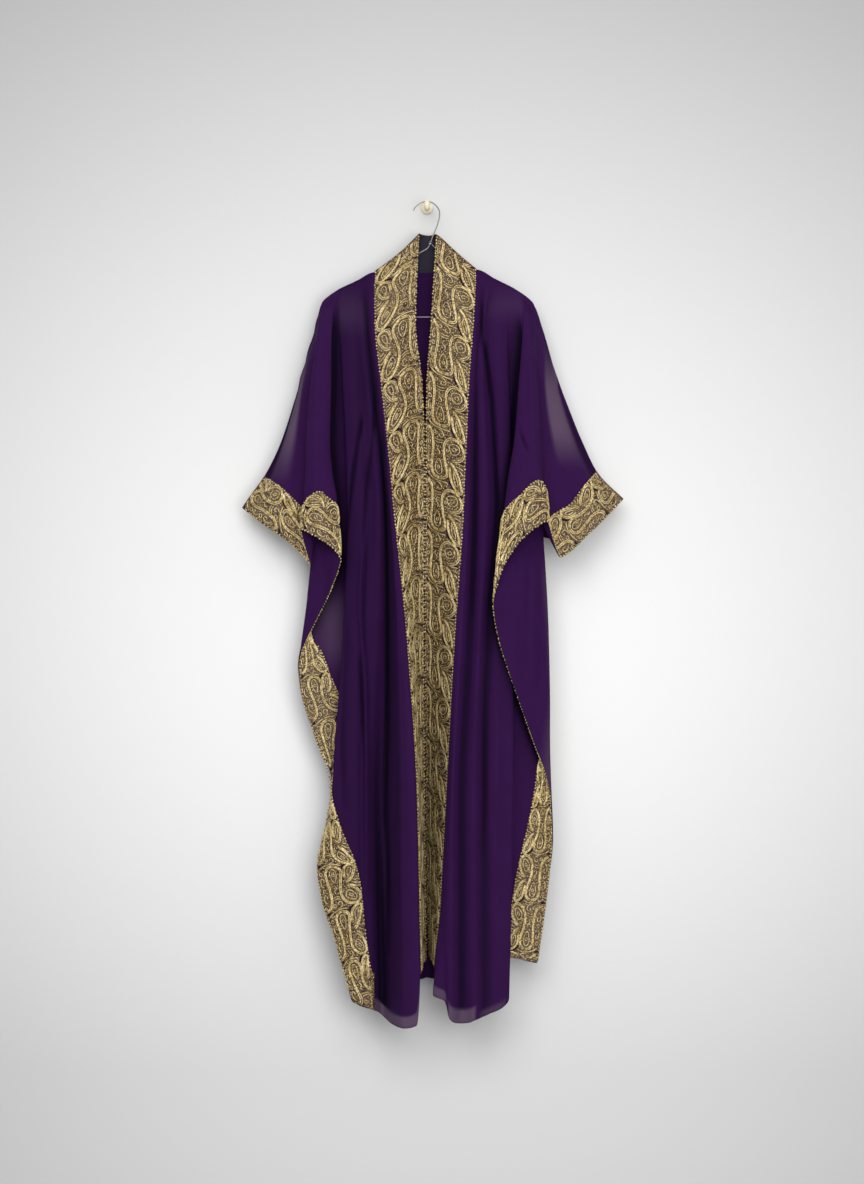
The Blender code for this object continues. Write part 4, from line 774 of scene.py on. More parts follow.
# Back panel
# One piece of the same chiffon from sleeve edge to sleeve edge. It hangs straight behind the fronts
# and is sewn to them along the shoulders and up the sides.
# Its left and right halves, as for the fronts, with the top edge's own depth after its height
LEFT_BACK_FOLDS = (
    ("centre", (0.0, -13.45, 2.6), (0,) * 8,
     (2.4, 2.3, 2.2, 2.2, 2.2, 2.2, 2.4, 2.6)),
    ("valley_a", (-5.2, -13.6, 3.1), (-5.2, -5.1, -5.0, -5.0, -5.0, -4.8, -4.6, -4.4),
     (2.6, 2.0, 1.6, 1.4, 1.4, 1.2, 1.0, 1.0)),
    ("ridge_a", (-10.4, -13.45, 4.4), (-9.6, -9.0, -8.6, -8.5, -8.4, -8.0, -7.8, -7.6),
     (3.0, 2.4, 2.2, 2.2, 2.2, 2.6, 3.0, 3.2)),
    ("valley_b", (-14.2, -15.2, 4.4), (-13.0, -12.4, -12.0, -11.9, -11.8, -11.4, -11.2, -10.8),
     (2.8, 1.8, 1.4, 1.2, 1.2, 1.0, 1.0, 1.2)),
    ("ridge_b", (-17.6, -16.8, 4.4), (-16.6, -16.0, -15.8, -15.7, -15.6, -15.4, -15.4, -14.8),
     (3.0, 2.2, 2.0, 2.0, 2.0, 2.4, 3.2, 4.4)),
    ("side", (-20.1, -18.5, 4.4), (-19.4, -19.0, -18.8, -18.8, -18.8, -19.0, -18.4, -18.6),
     (3.2, 2.2, 1.8, 1.6, 1.6, 2.2, 3.6, 5.0)),
    ("side_seam", (-21.2, -19.8, 4.4), (-21.2, -21.3, -21.4, -21.5, -21.7, -22.9, -23.6, -24.6),
     (3.4, 2.6, 2.4, 2.4, 2.4, 3.0, 4.0, 5.0)),
    ("sleeve_inner", (-22.8, -26.0, 4.4), (-22.6, -23.3, -23.4, -23.4, -23.4, -23.7, -26.0, -28.0),
     (3.8, 3.0, 2.4, 2.2, 2.2, 2.4, 2.6, 3.0)),
    ("sleeve_outer", (-24.5, -31.8, 4.4), (-23.0, -25.3, -28.0, -29.6, -31.4, -37.5, -42.0, -46.0),
     (4.0, 3.8, 3.2, 3.0, 2.8, 2.8, 2.8, 2.8)),
    ("sleeve_top", (-25.8, -36.6, 4.4), (-23.2, -25.7, -29.5, -32.3, -36.4, -52.0, -60.0, -66.0),
     (4.4,) * 8),
)

RIGHT_BACK_FOLDS = (
    ("centre", (0.0, -13.45, 2.6), (0,) * 8,
     (2.4, 2.3, 2.2, 2.2, 2.2, 2.2, 2.4, 2.6)),
    ("valley_a", (5.0, -13.2, 3.1), (4.9, 4.8, 4.8, 4.8, 4.8, 4.6, 4.4, 4.2),
     (2.6, 1.9, 1.5, 1.4, 1.3, 1.2, 1.2, 1.2)),
    ("ridge_a", (9.8, -12.9, 4.4), (9.0, 8.4, 8.2, 8.2, 8.2, 8.0, 7.8, 7.6),
     (3.0, 2.5, 2.4, 2.4, 2.4, 2.8, 3.2, 3.4)),
    ("valley_b", (13.8, -14.85, 4.4), (12.8, 12.2, 12.0, 12.0, 12.0, 11.8, 11.4, 11.0),
     (2.8, 1.7, 1.3, 1.2, 1.1, 1.0, 1.1, 1.4)),
    ("ridge_b", (17.4, -16.65, 4.4), (16.6, 16.4, 16.4, 16.4, 16.4, 16.2, 16.0, 16.0),
     (3.0, 2.3, 2.1, 2.0, 2.0, 2.4, 3.2, 4.4)),
    ("side", (20.6, -18.9, 4.4), (19.6, 19.6, 19.6, 19.6, 19.7, 20.0, 20.2, 19.6),
     (3.2, 2.2, 1.8, 1.6, 1.6, 2.2, 3.4, 5.0)),
    ("side_seam", (21.8, -20.6, 4.4), (21.4, 21.4, 21.6, 21.8, 22.0, 22.8, 23.3, 24.0),
     (3.4, 2.6, 2.4, 2.4, 2.4, 2.8, 4.0, 5.0)),
    ("sleeve_inner", (23.4, -25.4, 4.4), (22.6, 22.8, 22.8, 22.9, 23.0, 23.6, 24.0, 26.0),
     (3.8, 3.0, 2.4, 2.2, 2.2, 2.4, 2.8, 3.2)),
    ("sleeve_outer", (25.4, -32.4, 4.4), (23.4, 25.6, 28.4, 30.8, 33.2, 44.0, 50.0, 54.0),
     (4.0, 3.8, 3.2, 3.0, 2.8, 2.8, 2.8, 2.8)),
    ("sleeve_top", (27.0, -37.0, 4.4), (23.6, 26.9, 31.4, 34.3, 40.2, 60.0, 70.0, 76.0),
     (4.4,) * 8),
)

# The back's hem and its sleeve edge, in the columns of LEFT_EDGE. The side seam lies between
# them and is taken from the front's own edge.
LEFT_BACK_HEM = (
    (0.0, (0.0, -155.6), -148.0),
    (0.5, (-2.2, -156.4), -149.0),
    (1.0, (-4.4, -157.8), -150.0),
    (1.5, (-6.0, -159.2), -150.5),
    (2.0, (-7.6, -159.8), -151.0),
    (2.5, (-9.4, -160.2), -151.0),
    (2.8, (-10.9, -160.2), -150.0),
    (3.2, (-12.6, -159.9), -149.5),
)
LEFT_BACK_SLEEVE = (
    (6.3, (-24.2, -86.4), -83.0),
    (6.6, (-23.3, -80.0), -76.6),
    (6.8, (-23.2, -74.0), -70.4),
    (7.0, (-23.8, -70.7), -65.4),
    (7.5, (-27.3, -67.2), -59.6),
    (8.0, (-32.4, -64.2), -56.4),
    (9.0, (-37.2, -60.9), -54.6),
)
RIGHT_BACK_HEM = (
    (0.0, (0.0, -155.6), -148.0),
    (0.5, (2.2, -156.2), -149.0),
    (1.0, (4.2, -156.8), -149.5),
    (1.5, (6.0, -157.6), -149.0),
    (2.0, (7.6, -157.2), -148.0),
    (2.5, (9.6, -155.6), -148.0),
    (3.0, (12.0, -153.8), -147.0),
    (3.5, (14.8, -151.6), -146.0),
    (4.0, (18.0, -150.8), -145.6),
)
RIGHT_BACK_SLEEVE = (
    (6.2, (24.0, -110.0), -107.0),
    (6.4, (23.5, -94.0), -91.4),
    (6.6, (23.0, -79.0), -76.6),
    (6.8, (22.9, -66.6), -63.6),
    (7.0, (25.2, -67.0), -61.6),
    (7.5, (30.2, -67.0), -59.4),
    (8.0, (35.4, -63.0), -55.8),
    (9.0, (39.5, -59.1), -53.6),
)
LEFT_BACK_LEAN = ((0, 0), (1, 1), (2, 2), (3.7, 2.8), (6.0, 5.0), (6.3, 5.2), (6.6, 5.5), (6.8, 5.9),
                  (7.0, 6.4), (7.5, 7.2), (8, 8), (9, 9))
RIGHT_BACK_LEAN = ((0, 0), (1, 1), (2, 2), (3.7, 2.9), (4.4, 3.4), (6.0, 4.6), (6.2, 4.8), (6.4, 5.0),
                   (6.6, 5.3), (6.8, 5.7), (7.0, 6.4), (7.5, 7.2), (8, 8), (9, 9))
# The side seam's lower and upper end, as positions on the fronts and on the back
LEFT_CORNER, RIGHT_CORNER, SEAM_END = 8.75, 11.0, 11.85
LEFT_BACK_CORNER, RIGHT_BACK_CORNER, BACK_SEAM_END = 3.7, 4.4, 6.0
SEAM_STEP = 0.30  # the back lies this far behind the front's edge, so that they don't touch
HEM_EASE = 1.0  # from this position outwards the hem's depth eases to the seam's
SEAM_EASE = 1.2  # and over this much of a fold the sleeve edge's eases away from it
BACK_BAND = 8.0  # the height above the side seam at which the rows of the lower edge begin
BACK_ROWS, BACK_PULL = 94, 16.0
BACK_SHADE = 0.4


def back_half(folds, hem, sleeve, lean, front, edge, corner, back_corner):
    """Half of the back in fine columns, from the centre out. Its side seam is the front's own edge."""
    cloth = HungCloth(folds, HANGER_DEPTH - SEAM_SPREAD, -STAND_SLOPE, BACK_PULL)

    def own_depth(position, height):
        return cloth.free(np.array([position]), np.array([height]))[1][0]

    seam = []
    for position in [row[0] for row in edge if corner <= row[0] <= SEAM_END]:
        x, y, z = front.grid[front.column(position), -1] / CM
        own = back_corner + (position - corner) / (SEAM_END - corner) * (BACK_SEAM_END - back_corner)
        seam.append((own, x, z, z + BACK_BAND, -y - SEAM_STEP))
    first_depth, last_depth = seam[0][-1], seam[-1][-1]
    rows = []
    for position, (x, height), band in hem:
        share = ease_both((position - HEM_EASE) / (back_corner - HEM_EASE))
        depth = own_depth(position, height)
        rows.append((position, x, height, band, depth + (first_depth - depth) * share))
    rows += seam
    for position, (x, height), band in sleeve:
        share = ease_out((position - BACK_SEAM_END) / SEAM_EASE)
        depth = last_depth + (own_depth(position, height) - last_depth) * share
        rows.append((position, x, height, band, depth))
    knots, *columns = np.array(rows).T

    def surface(at, panel_rows, band_rows):
        x, height, band, depth = (through(knots, column, at) for column in columns)
        return cloth.points(at, (x, height), through(*zip(*lean), at), band, panel_rows, band_rows, depth)

    positions = fine_positions(knots, surface(knots, *COARSE_ROWS))
    return positions, surface(positions, BACK_ROWS, BAND_ROWS)


left_at, left_grid = back_half(LEFT_BACK_FOLDS, LEFT_BACK_HEM, LEFT_BACK_SLEEVE, LEFT_BACK_LEAN,
                               left_front, LEFT_EDGE, LEFT_CORNER, LEFT_BACK_CORNER)
right_at, right_grid = back_half(RIGHT_BACK_FOLDS, RIGHT_BACK_HEM, RIGHT_BACK_SLEEVE, RIGHT_BACK_LEAN,
                                 right_front, RIGHT_EDGE, RIGHT_CORNER, RIGHT_BACK_CORNER)
back_grid = np.concatenate([left_grid[::-1], right_grid[1:]])
back_out = facing_out(back_grid, 1)
back_panel = cloth_shell("chiffon_back", back_grid, back_out, 1, CLOTH_WALL, chiffon, laid_flat(back_grid))
# Painted shade in the back's deep folds, weaker than on the fronts
paint(back_panel, "in_fold", BACK_SHADE * in_fold(back_grid))
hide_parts("back_panel")

# Neck band
# The back of the standing collar, between the crests of the two front bands: gold outside and
# dark cloth inside, gently sagging over the hanger's neck.
CREST = 3.0  # the position of a front band's crest, where the band also ends
NECK_COLUMNS = 41
SAG_TOP, SAG_BOTTOM = 1.7, 1.8
# The foot of the band laps over the back panel's top edge, on the outside. The lap grows with the
# bow round the neck, so that the band's two ends stay on the crests
LAP_DOWN, LAP_OUT = 0.85, 0.32
LAP_FROM, LAP_OVER = 0.7, 0.3


def read_at(run, line, at):
    """The points of a line at other runs along it."""
    return np.stack([np.interp(at, run, values) for values in line.T], -1)


left_crest = left_front.grid[: left_front.column(CREST) + 1, 0] / CM
right_crest = right_front.grid[: right_front.column(CREST) + 1, 0] / CM
spread = np.linspace(0, len(right_crest) - 1, len(left_crest))
right_crest = read_at(np.arange(len(right_crest)), right_crest, spread)
round_neck = np.linspace(0, 1, NECK_COLUMNS)[:, None]
drop_share = np.linspace(0, 1, len(left_crest))[None, :]
bow = 1 - (2 * round_neck - 1) ** 2
lapping = np.clip((drop_share - LAP_FROM) / LAP_OVER, 0, 1)
neck_x = left_crest[:, 0] + (right_crest[:, 0] - left_crest[:, 0]) * round_neck
neck_y = -(HANGER_DEPTH - SEAM_SPREAD - (SAG_TOP + (SAG_BOTTOM - SAG_TOP) * drop_share) * bow)
neck_z = left_crest[:, 2] + (right_crest[:, 2] - left_crest[:, 2]) * round_neck
neck_y = neck_y + LAP_OUT * np.clip(6 * bow, 0, 1) * lapping
neck_z = neck_z - LAP_DOWN * np.clip(3 * bow - 0.9, 0, 1) * lapping
neck_grid = np.stack([neck_x, neck_y, neck_z], -1) * CM
neck_out = facing_out(neck_grid, 1)

lining, tree, shader = plain_material("neck_lining", (0.020, 0.014, 0.035), 0.75, Specular_IOR_Level=0.25)
fibre = speckle(tree, place_on_cut(tree), 14.0, 4.0)
set_up(tree, shader, Base_Color=blended(tree, fibre, (0.010, 0.007, 0.018), (0.024, 0.018, 0.036)))
emboss(tree, shader, fibre, 0.3, 0.0004)

neck_lining = cloth_shell("neck_band_lining", neck_grid, neck_out, 1, CLOTH_WALL, lining,
                          laid_flat(neck_grid))
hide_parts("neck_band")

# Gold bands
# Strips of dark net worked all over with couched gold thread, sewn flat on the chiffon: one down each
# front edge and round the neck, one round each cuff, and one up each side edge.
FRONT_WIDTH, SIDE_WIDTH, CUFF_WIDTH = 10.0, 9.0, 7.5
BAND_LIFT, BAND_WALL = 0.17, 0.08
SLEEVE_START = 13.0
LEFT_SIDE_BAND, RIGHT_SIDE_BAND = 6.0, 10.15
FIELD_STEP, FIELD_COLUMNS = 0.3, 29  # the even grid that the embroidery is laid out on
EASED_COLUMNS, LEAD_IN = 7, 6  # the worn edge is eased over so many columns, and starts so far before
EDGE_SLACK, END_CLEAR = 0.02, 0.12  # cords keep this far off the strip's two ends
HAIR, OUT_OF_REACH = 1e-6, 1e6
# Painted shade: the front bands are painted darker downwards, where they hang in one deep fold
FRONT_SHADES = {"gold_front_band_left": 0.30, "gold_front_band_right": 0.62}
SHADE_FROM, SHADE_OVER = 55, 70

# Grains of gold thread, close together in some patches and sparse in others, on the dark net, with painted
# shade where a front band hangs in its deep fold
net, tree, shader = plain_material("gold_worked_net", (0.30, 0.20, 0.09), 0.5, 0.2)
cut = place_on_cut(tree)
grains = add_node(tree, "TexVoronoi", Vector=cut, Scale=4.4).outputs["Distance"]
grain = add_node(tree, "MapRange", Value=grains, From_Min=0.62, From_Max=0.30)
thick = add_node(tree, "MapRange", Value=speckle(tree, cut, 1.1, 3.0), From_Min=0.34, From_Max=0.50)
worked = reckoned(tree, "MULTIPLY", grain.outputs["Result"], thick.outputs["Result"])
tone = blended(tree, worked, (0.034, 0.014, 0.018), (0.33, 0.225, 0.090))
set_up(tree, shader, Base_Color=blended(tree, painted(tree, "in_fold"), tone, (0.008, 0.004, 0.004)))
emboss(tree, shader, worked, 0.8, 0.0008)


def run_along(line):
    """How far each point of a line is from its first, along the line."""
    return np.concatenate([[0], np.cumsum(np.linalg.norm(np.diff(line, axis=0), axis=1))])


def beside_line(points, line, own, reach=50.0):
    """Each grid point's distance to a line and run along it, within `reach` of its own column's run."""
    run = run_along(line) / CM
    start, step = line[:-1], np.diff(line, axis=0)
    length2 = np.maximum((step**2).sum(1), TINY)
    away, at = np.empty(points.shape[:2]), np.empty(points.shape[:2])
    for i, column in enumerate(points):
        t = np.clip(((column[:, None] - start[None]) * step[None]).sum(2) / length2, 0, 1)
        gap = np.linalg.norm(column[:, None] - start[None] - step[None] * t[..., None], axis=2) / CM
        here = run[:-1] + t * (run[1:] - run[:-1])
        gap = np.where(np.abs(here - run[own[i]]) < reach, gap, OUT_OF_REACH)
        best = gap.argmin(1)
        away[i], at[i] = gap[np.arange(len(best)), best], here[np.arange(len(best)), best]
    return away, at


class GoldBand:
    """An embroidered strip. Its field runs along the strip and across it from the worn edge."""

    def __init__(self, name, points, out, sign, width, node, run_across, corner=None):
        self.name, self.width = name, width
        lifted = points + out * BAND_LIFT * CM
        if run_across:  # columns of the panel cross the band, from its worn edge inwards
            field, turns = lifted[:, ::-1], out[:, ::-1]
        else:
            field, turns = lifted.transpose(1, 0, 2), out.transpose(1, 0, 2)
        across_at, along_at = self.squarely(field) if corner is None else self.slantwise(field, corner)
        flat = np.stack([across_at, along_at], -1)
        flat = flat[:, ::-1] if run_across else flat.transpose(1, 0, 2)
        self.ground = cloth_shell(name, lifted, out, sign, BAND_WALL, net, flat)
        # painted shade, on the front bands only
        paint(self.ground, "in_fold", self.shade(lifted))
        if node:
            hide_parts(node)
        self.length = float(along_at.max())
        along = np.linspace(0, self.length, int(self.length / FIELD_STEP) + 2)
        across = np.linspace(0, width, FIELD_COLUMNS)
        self.steps = (along[1], across[1])
        self.spots, self.turns = np.empty((2, len(along), len(across), 3))
        self.ends = np.empty((2, len(across)))
        for j, place in enumerate(across):
            rows = [i for i in range(len(field)) if across_at[i, 0] <= place + EDGE_SLACK]
            level = np.array([np.interp(place, across_at[i], along_at[i]) for i in rows])
            level = np.maximum.accumulate(level) + np.arange(len(level)) * HAIR
            self.ends[:, j] = level[0], level[-1]
            for kept, whole in ((self.spots, field), (self.turns, turns)):
                there = np.array([read_at(across_at[i], whole[i], place) for i in rows])
                kept[:, j] = read_at(level, there, along)

    def squarely(self, field):
        """Each point's place across and along a strip whose columns cross it squarely."""
        run, over = lengths_along(field, 0), lengths_along(field, 1)
        across_at = over / np.maximum(over[:, -1:], HAIR) * self.width
        return across_at, np.broadcast_to(run[:, field.shape[1] // 2][:, None], across_at.shape)

    def slantwise(self, field, corner):
        """The same where they cross it slantwise: places are measured from its eased worn edge."""
        worn = np.pad(field[corner:, 0], ((EASED_COLUMNS // 2,) * 2, (0, 0)), mode="edge")
        window = np.hanning(EASED_COLUMNS + 2)[1:-1]
        eased = np.stack([np.convolve(values, window / window.sum(), "valid") for values in worn.T], -1)
        eased = np.concatenate([eased[:1] * 2 - eased[LEAD_IN : LEAD_IN + 1], eased])
        columns = np.arange(len(field))
        outer, along_at = beside_line(field, eased, np.maximum(columns - corner, 0) + 1)
        inner, _ = beside_line(field, field[:, -1], columns)
        across_at = self.width * outer / np.maximum(outer + inner, HAIR)
        return np.maximum.accumulate(across_at, axis=1), along_at

    # Painted shade: darker downwards on the front bands
    def shade(self, spots):
        down = -spots[..., 2] / CM
        return FRONT_SHADES.get(self.name, 0.0) * ease_both((down - SHADE_FROM) / SHADE_OVER)

    def covers(self, flat):
        """Which places lie on the strip, clear of its two ends."""
        across = np.arange(self.ends.shape[1]) * self.steps[1]
        low, high = (np.interp(flat[:, 0], across, end) for end in self.ends)
        return (flat[:, 1] > low + END_CLEAR) & (flat[:, 1] < high - END_CLEAR)

    def at(self, flat):
        """Points and outward directions at places (across, along) in centimetres."""
        just_inside = 1.001  # of the last row and column, which have no cell of their own
        v = np.clip(flat[:, 1] / self.steps[0], 0, len(self.spots) - just_inside)
        u = np.clip(flat[:, 0] / self.steps[1], 0, self.spots.shape[1] - just_inside)
        i, j = v.astype(int), u.astype(int)
        a, b = (v - i)[:, None], (u - j)[:, None]

        def mixed(field):
            return ((field[i, j] * (1 - a) + field[i + 1, j] * a) * (1 - b)
                    + (field[i, j + 1] * (1 - a) + field[i + 1, j + 1] * a) * b)

        return mixed(self.spots), unit(mixed(self.turns))


def front_bands(front, side_start, corner):
    """The strips on one front: down its front edge, along its side edge and round its cuff."""
    start, cuff = front.column(side_start), front.column(SLEEVE_START)
    whole, on_band = slice(None), slice(PANEL_ROWS, None)
    return [
        GoldBand(f"gold_{place}_band_{front.side}", front.grid[columns, rows], front.out[columns, rows],
                 front.sign, width, f"{place}_band_{front.side}", run_across, turn)
        for place, columns, rows, width, run_across, turn in (
            ("front", slice(front.column(CREST) + 1), whole, FRONT_WIDTH, False, None),
            ("side", slice(start, cuff), on_band, SIDE_WIDTH, True, front.column(corner) - start),
            ("cuff", slice(cuff, None), on_band, CUFF_WIDTH, True, None),
        )
    ]


left_bands = front_bands(left_front, LEFT_SIDE_BAND, LEFT_CORNER)
right_bands = front_bands(right_front, RIGHT_SIDE_BAND, RIGHT_CORNER)
left_last = len(left_grid) - int(np.argmin(np.abs(left_at - BACK_SEAM_END)))
right_first = len(left_grid) - 1 + int(np.argmin(np.abs(right_at - BACK_SEAM_END)))
on_cuff = slice(BACK_ROWS, None)
back_cuff_left, back_cuff_right = [
    GoldBand(f"gold_back_cuff_{side}", back_grid[columns, on_cuff], back_out[columns, on_cuff], 1,
             CUFF_WIDTH, f"back_cuff_band_{side}", True)
    for side, columns in (("left", slice(left_last)), ("right", slice(right_first, None)))
]
neck_gold = GoldBand("gold_neck_band", neck_grid[:, ::-1], neck_out[:, ::-1], -1, FRONT_WIDTH, None, True)

# Couched gold cord
# Pale metal cord laid on the net in paisley scrolls and held with small stitches: double cords for the
# scrolls, single ones for stems and linings, rings for the rosettes. Each motif is a repeat of the strip.
REPEAT = 10.4  # the motif's own length on a band as wide as the fronts'
CORD_SIDES, CORD_STEP = 5, 0.42
CURVE_STEPS, FEWEST_STEPS, RING_STEPS = 12, 6, 8
STRANDS_APART = 1.05  # from the middle of a double cord to each strand, in radii
CORD_LIFT = 0.75  # how far a cord's middle lies above the net, in radii
CORD_END = 0.45  # the thickness that a cord's end is worked down to
SHORTEST_CORD = 4  # points
# name, strands, radius, closed, points (across from the worn edge, along) on a strip 10 wide
PAISLEY = (
    ("scroll", 2, 0.15, False, ((4.7, 9.75), (6.0, 9.1), (6.35, 7.9), (5.8, 5.9), (5.45, 4.0), (5.7, 2.2),
                                (6.9, 0.75), (8.5, 0.3), (9.5, 1.1), (9.5, 2.6), (8.6, 4.0), (7.2, 5.0))),
    ("leaf", 2, 0.14, False, ((6.9, 5.5), (8.1, 6.1), (8.9, 7.4), (9.5, 9.2), (9.2, 10.1), (8.3, 10.0),
                              (7.4, 9.2), (7.0, 7.9), (6.85, 6.6))),
    ("inner_stem", 2, 0.15, False, ((0.8, 0.1), (2.0, 0.7), (2.75, 2.0), (2.9, 4.2), (2.6, 6.4), (2.5, 8.2),
                                    (3.3, 9.4), (4.7, 9.75))),
    ("bracket", 1, 0.13, False, ((0.9, 9.2), (2.0, 9.8), (3.5, 10.2), (5.2, 10.25), (6.6, 9.9))),
    ("tie", 1, 0.10, False, ((3.2, 2.1), (4.2, 2.3), (5.2, 2.0))),
    ("tie_low", 1, 0.10, False, ((3.3, 2.6), (4.2, 2.8), (5.1, 2.5))),
    ("head_drop", 1, 0.11, True, ((6.5, 2.5), (7.3, 1.6), (8.4, 1.15), (8.75, 1.9), (8.2, 3.0), (7.1, 3.7))),
    ("head_heart", 1, 0.10, True, ((7.2, 2.6), (7.8, 2.0), (8.1, 2.3), (7.4, 2.9))),
    ("leaf_heart", 1, 0.10, True, ((7.7, 7.0), (8.3, 7.6), (8.75, 8.9), (8.3, 9.2), (7.8, 8.4))),
    ("petal_high", 1, 0.11, False, ((7.9, 5.0), (8.7, 4.5), (9.6, 4.0))),
    ("petal_middle", 1, 0.11, False, ((8.2, 5.4), (8.9, 5.1), (9.7, 5.0))),
    ("petal_low", 1, 0.11, False, ((8.6, 5.9), (9.2, 5.8), (9.7, 6.1))),
    ("vase_drop", 1, 0.11, True, ((3.7, 7.0), (4.4, 5.9), (5.1, 7.2), (5.1, 8.5), (4.3, 9.0), (3.6, 8.2))),
    ("vase_stem", 1, 0.11, False, ((4.3, 3.3), (3.9, 4.0), (4.6, 4.6), (4.2, 5.4))),
    ("edge_curl", 1, 0.11, False, ((1.7, 1.7), (1.0, 2.2), (0.9, 3.2), (1.5, 3.7), (1.9, 3.1), (1.5, 2.7))),
    ("edge_curl_low", 1, 0.11, False, ((1.6, 5.3), (0.9, 5.8), (0.9, 6.9), (1.5, 7.3), (1.8, 6.7),
                                       (1.4, 6.4))),
    ("top_curl", 1, 0.11, False, ((3.8, 0.2), (4.8, 0.3), (5.3, 1.0), (4.8, 1.6), (4.2, 1.3), (4.5, 0.9))),
)
# across, along, radius of the ring, radius of its cord
ROSETTES = (
    (3.2, 0.9, 0.34, 0.09), (1.4, 4.5, 0.34, 0.09), (1.2, 8.2, 0.34, 0.09), (4.4, 7.6, 0.30, 0.09),
    (7.9, 6.6, 0.26, 0.08), (6.2, 3.6, 0.26, 0.08), (0.7, 0.9, 0.24, 0.08),
)
# Dark gaps between the leaf of one repeat and the scroll of the next
GAPS = (
    ((10.0, 10.55), (9.0, 10.5), (7.9, 10.35), (7.0, 9.7), (6.6, 8.9)),
    ((9.9, 3.3), (9.2, 4.0), (8.5, 4.6)),
    ((1.4, 10.2), (0.9, 9.9), (0.3, 9.9)),
)
GAP_HALF, GAP_STEP, GAP_LIFT = 0.21, 0.5, -0.25
# On a front the strip's inner half turns away, so that the motif is drawn nearer its front edge
DRAWN, TURNED_IN = (0.0, 2.75, 5.6, 10.0), (0.0, 1.7, 4.8, 10.0)
KNOT_PITCH, KNOT_SIZE, KNOT_JITTER = 0.56, 0.17, 0.11
KNOT_CLEAR, CLEAR_CELL = 0.32, 0.08  # how far a knot keeps off the cords, on cells of this size
KNOT_START, KNOT_EDGE = 0.3, 0.25
PICOT_PITCH, PICOT_SIZE, PICOT_START, PICOT_INSET = 0.66, 0.25, 0.4, 0.12
STITCH_REACH, STITCH_LIFT = 0.2, 0.05
# A knot is a small pointed stone: its corners beside, along and above it, and the faces between them
KNOT = ((1, 0, 0), (0, 1, 0), (-1, 0, 0), (0, -1, 0), (0, 0, 0.8), (0, 0, -0.6))
KNOT_FACES = ((0, 1, 4), (1, 2, 4), (2, 3, 4), (3, 0, 4), (1, 0, 5), (2, 1, 5), (3, 2, 5), (0, 3, 5))


def flowing(points, closed, spacing):
    """An evenly stepped curve through the points (Catmull-Rom)."""
    p = np.array(points, float)
    if closed:
        p = np.concatenate([p[-1:], p, p[:2]])
    else:
        p = np.concatenate([2 * p[:1] - p[1:2], p, 2 * p[-1:] - p[-2:-1]])
    t = np.linspace(0, 1, CURVE_STEPS + 1)[:-1, None]
    runs = [
        0.5 * (2 * b + (c - a) * t + (2 * a - 5 * b + 4 * c - d) * t**2 + (3 * b - a - 3 * c + d) * t**3)
        for a, b, c, d in zip(p, p[1:], p[2:], p[3:])
    ]
    line = np.concatenate(runs + [p[-2:-1]])
    run = run_along(line)
    count = max(int(round(run[-1] / spacing)), FEWEST_STEPS)
    even = read_at(run, line, np.linspace(0, run[-1], count + 1))
    return even[:-1] if closed else even


def ahead_on(line, closed):
    """The way that a line runs at each of its points."""
    ahead = np.roll(line, -1, 0) - np.roll(line, 1, 0)
    if not closed:
        ahead[0], ahead[-1] = line[1] - line[0], line[-1] - line[-2]
    return unit(ahead)


def beside(line, shift, closed):
    """The line moved sideways, for one strand of a double cord."""
    ahead = ahead_on(line, closed)
    return line + np.stack([-ahead[:, 1], ahead[:, 0]], -1) * shift


def square_to(ahead, out):
    """The part of a direction that lies flat on the cloth."""
    return unit(ahead - out * (ahead * out).sum(1)[:, None])


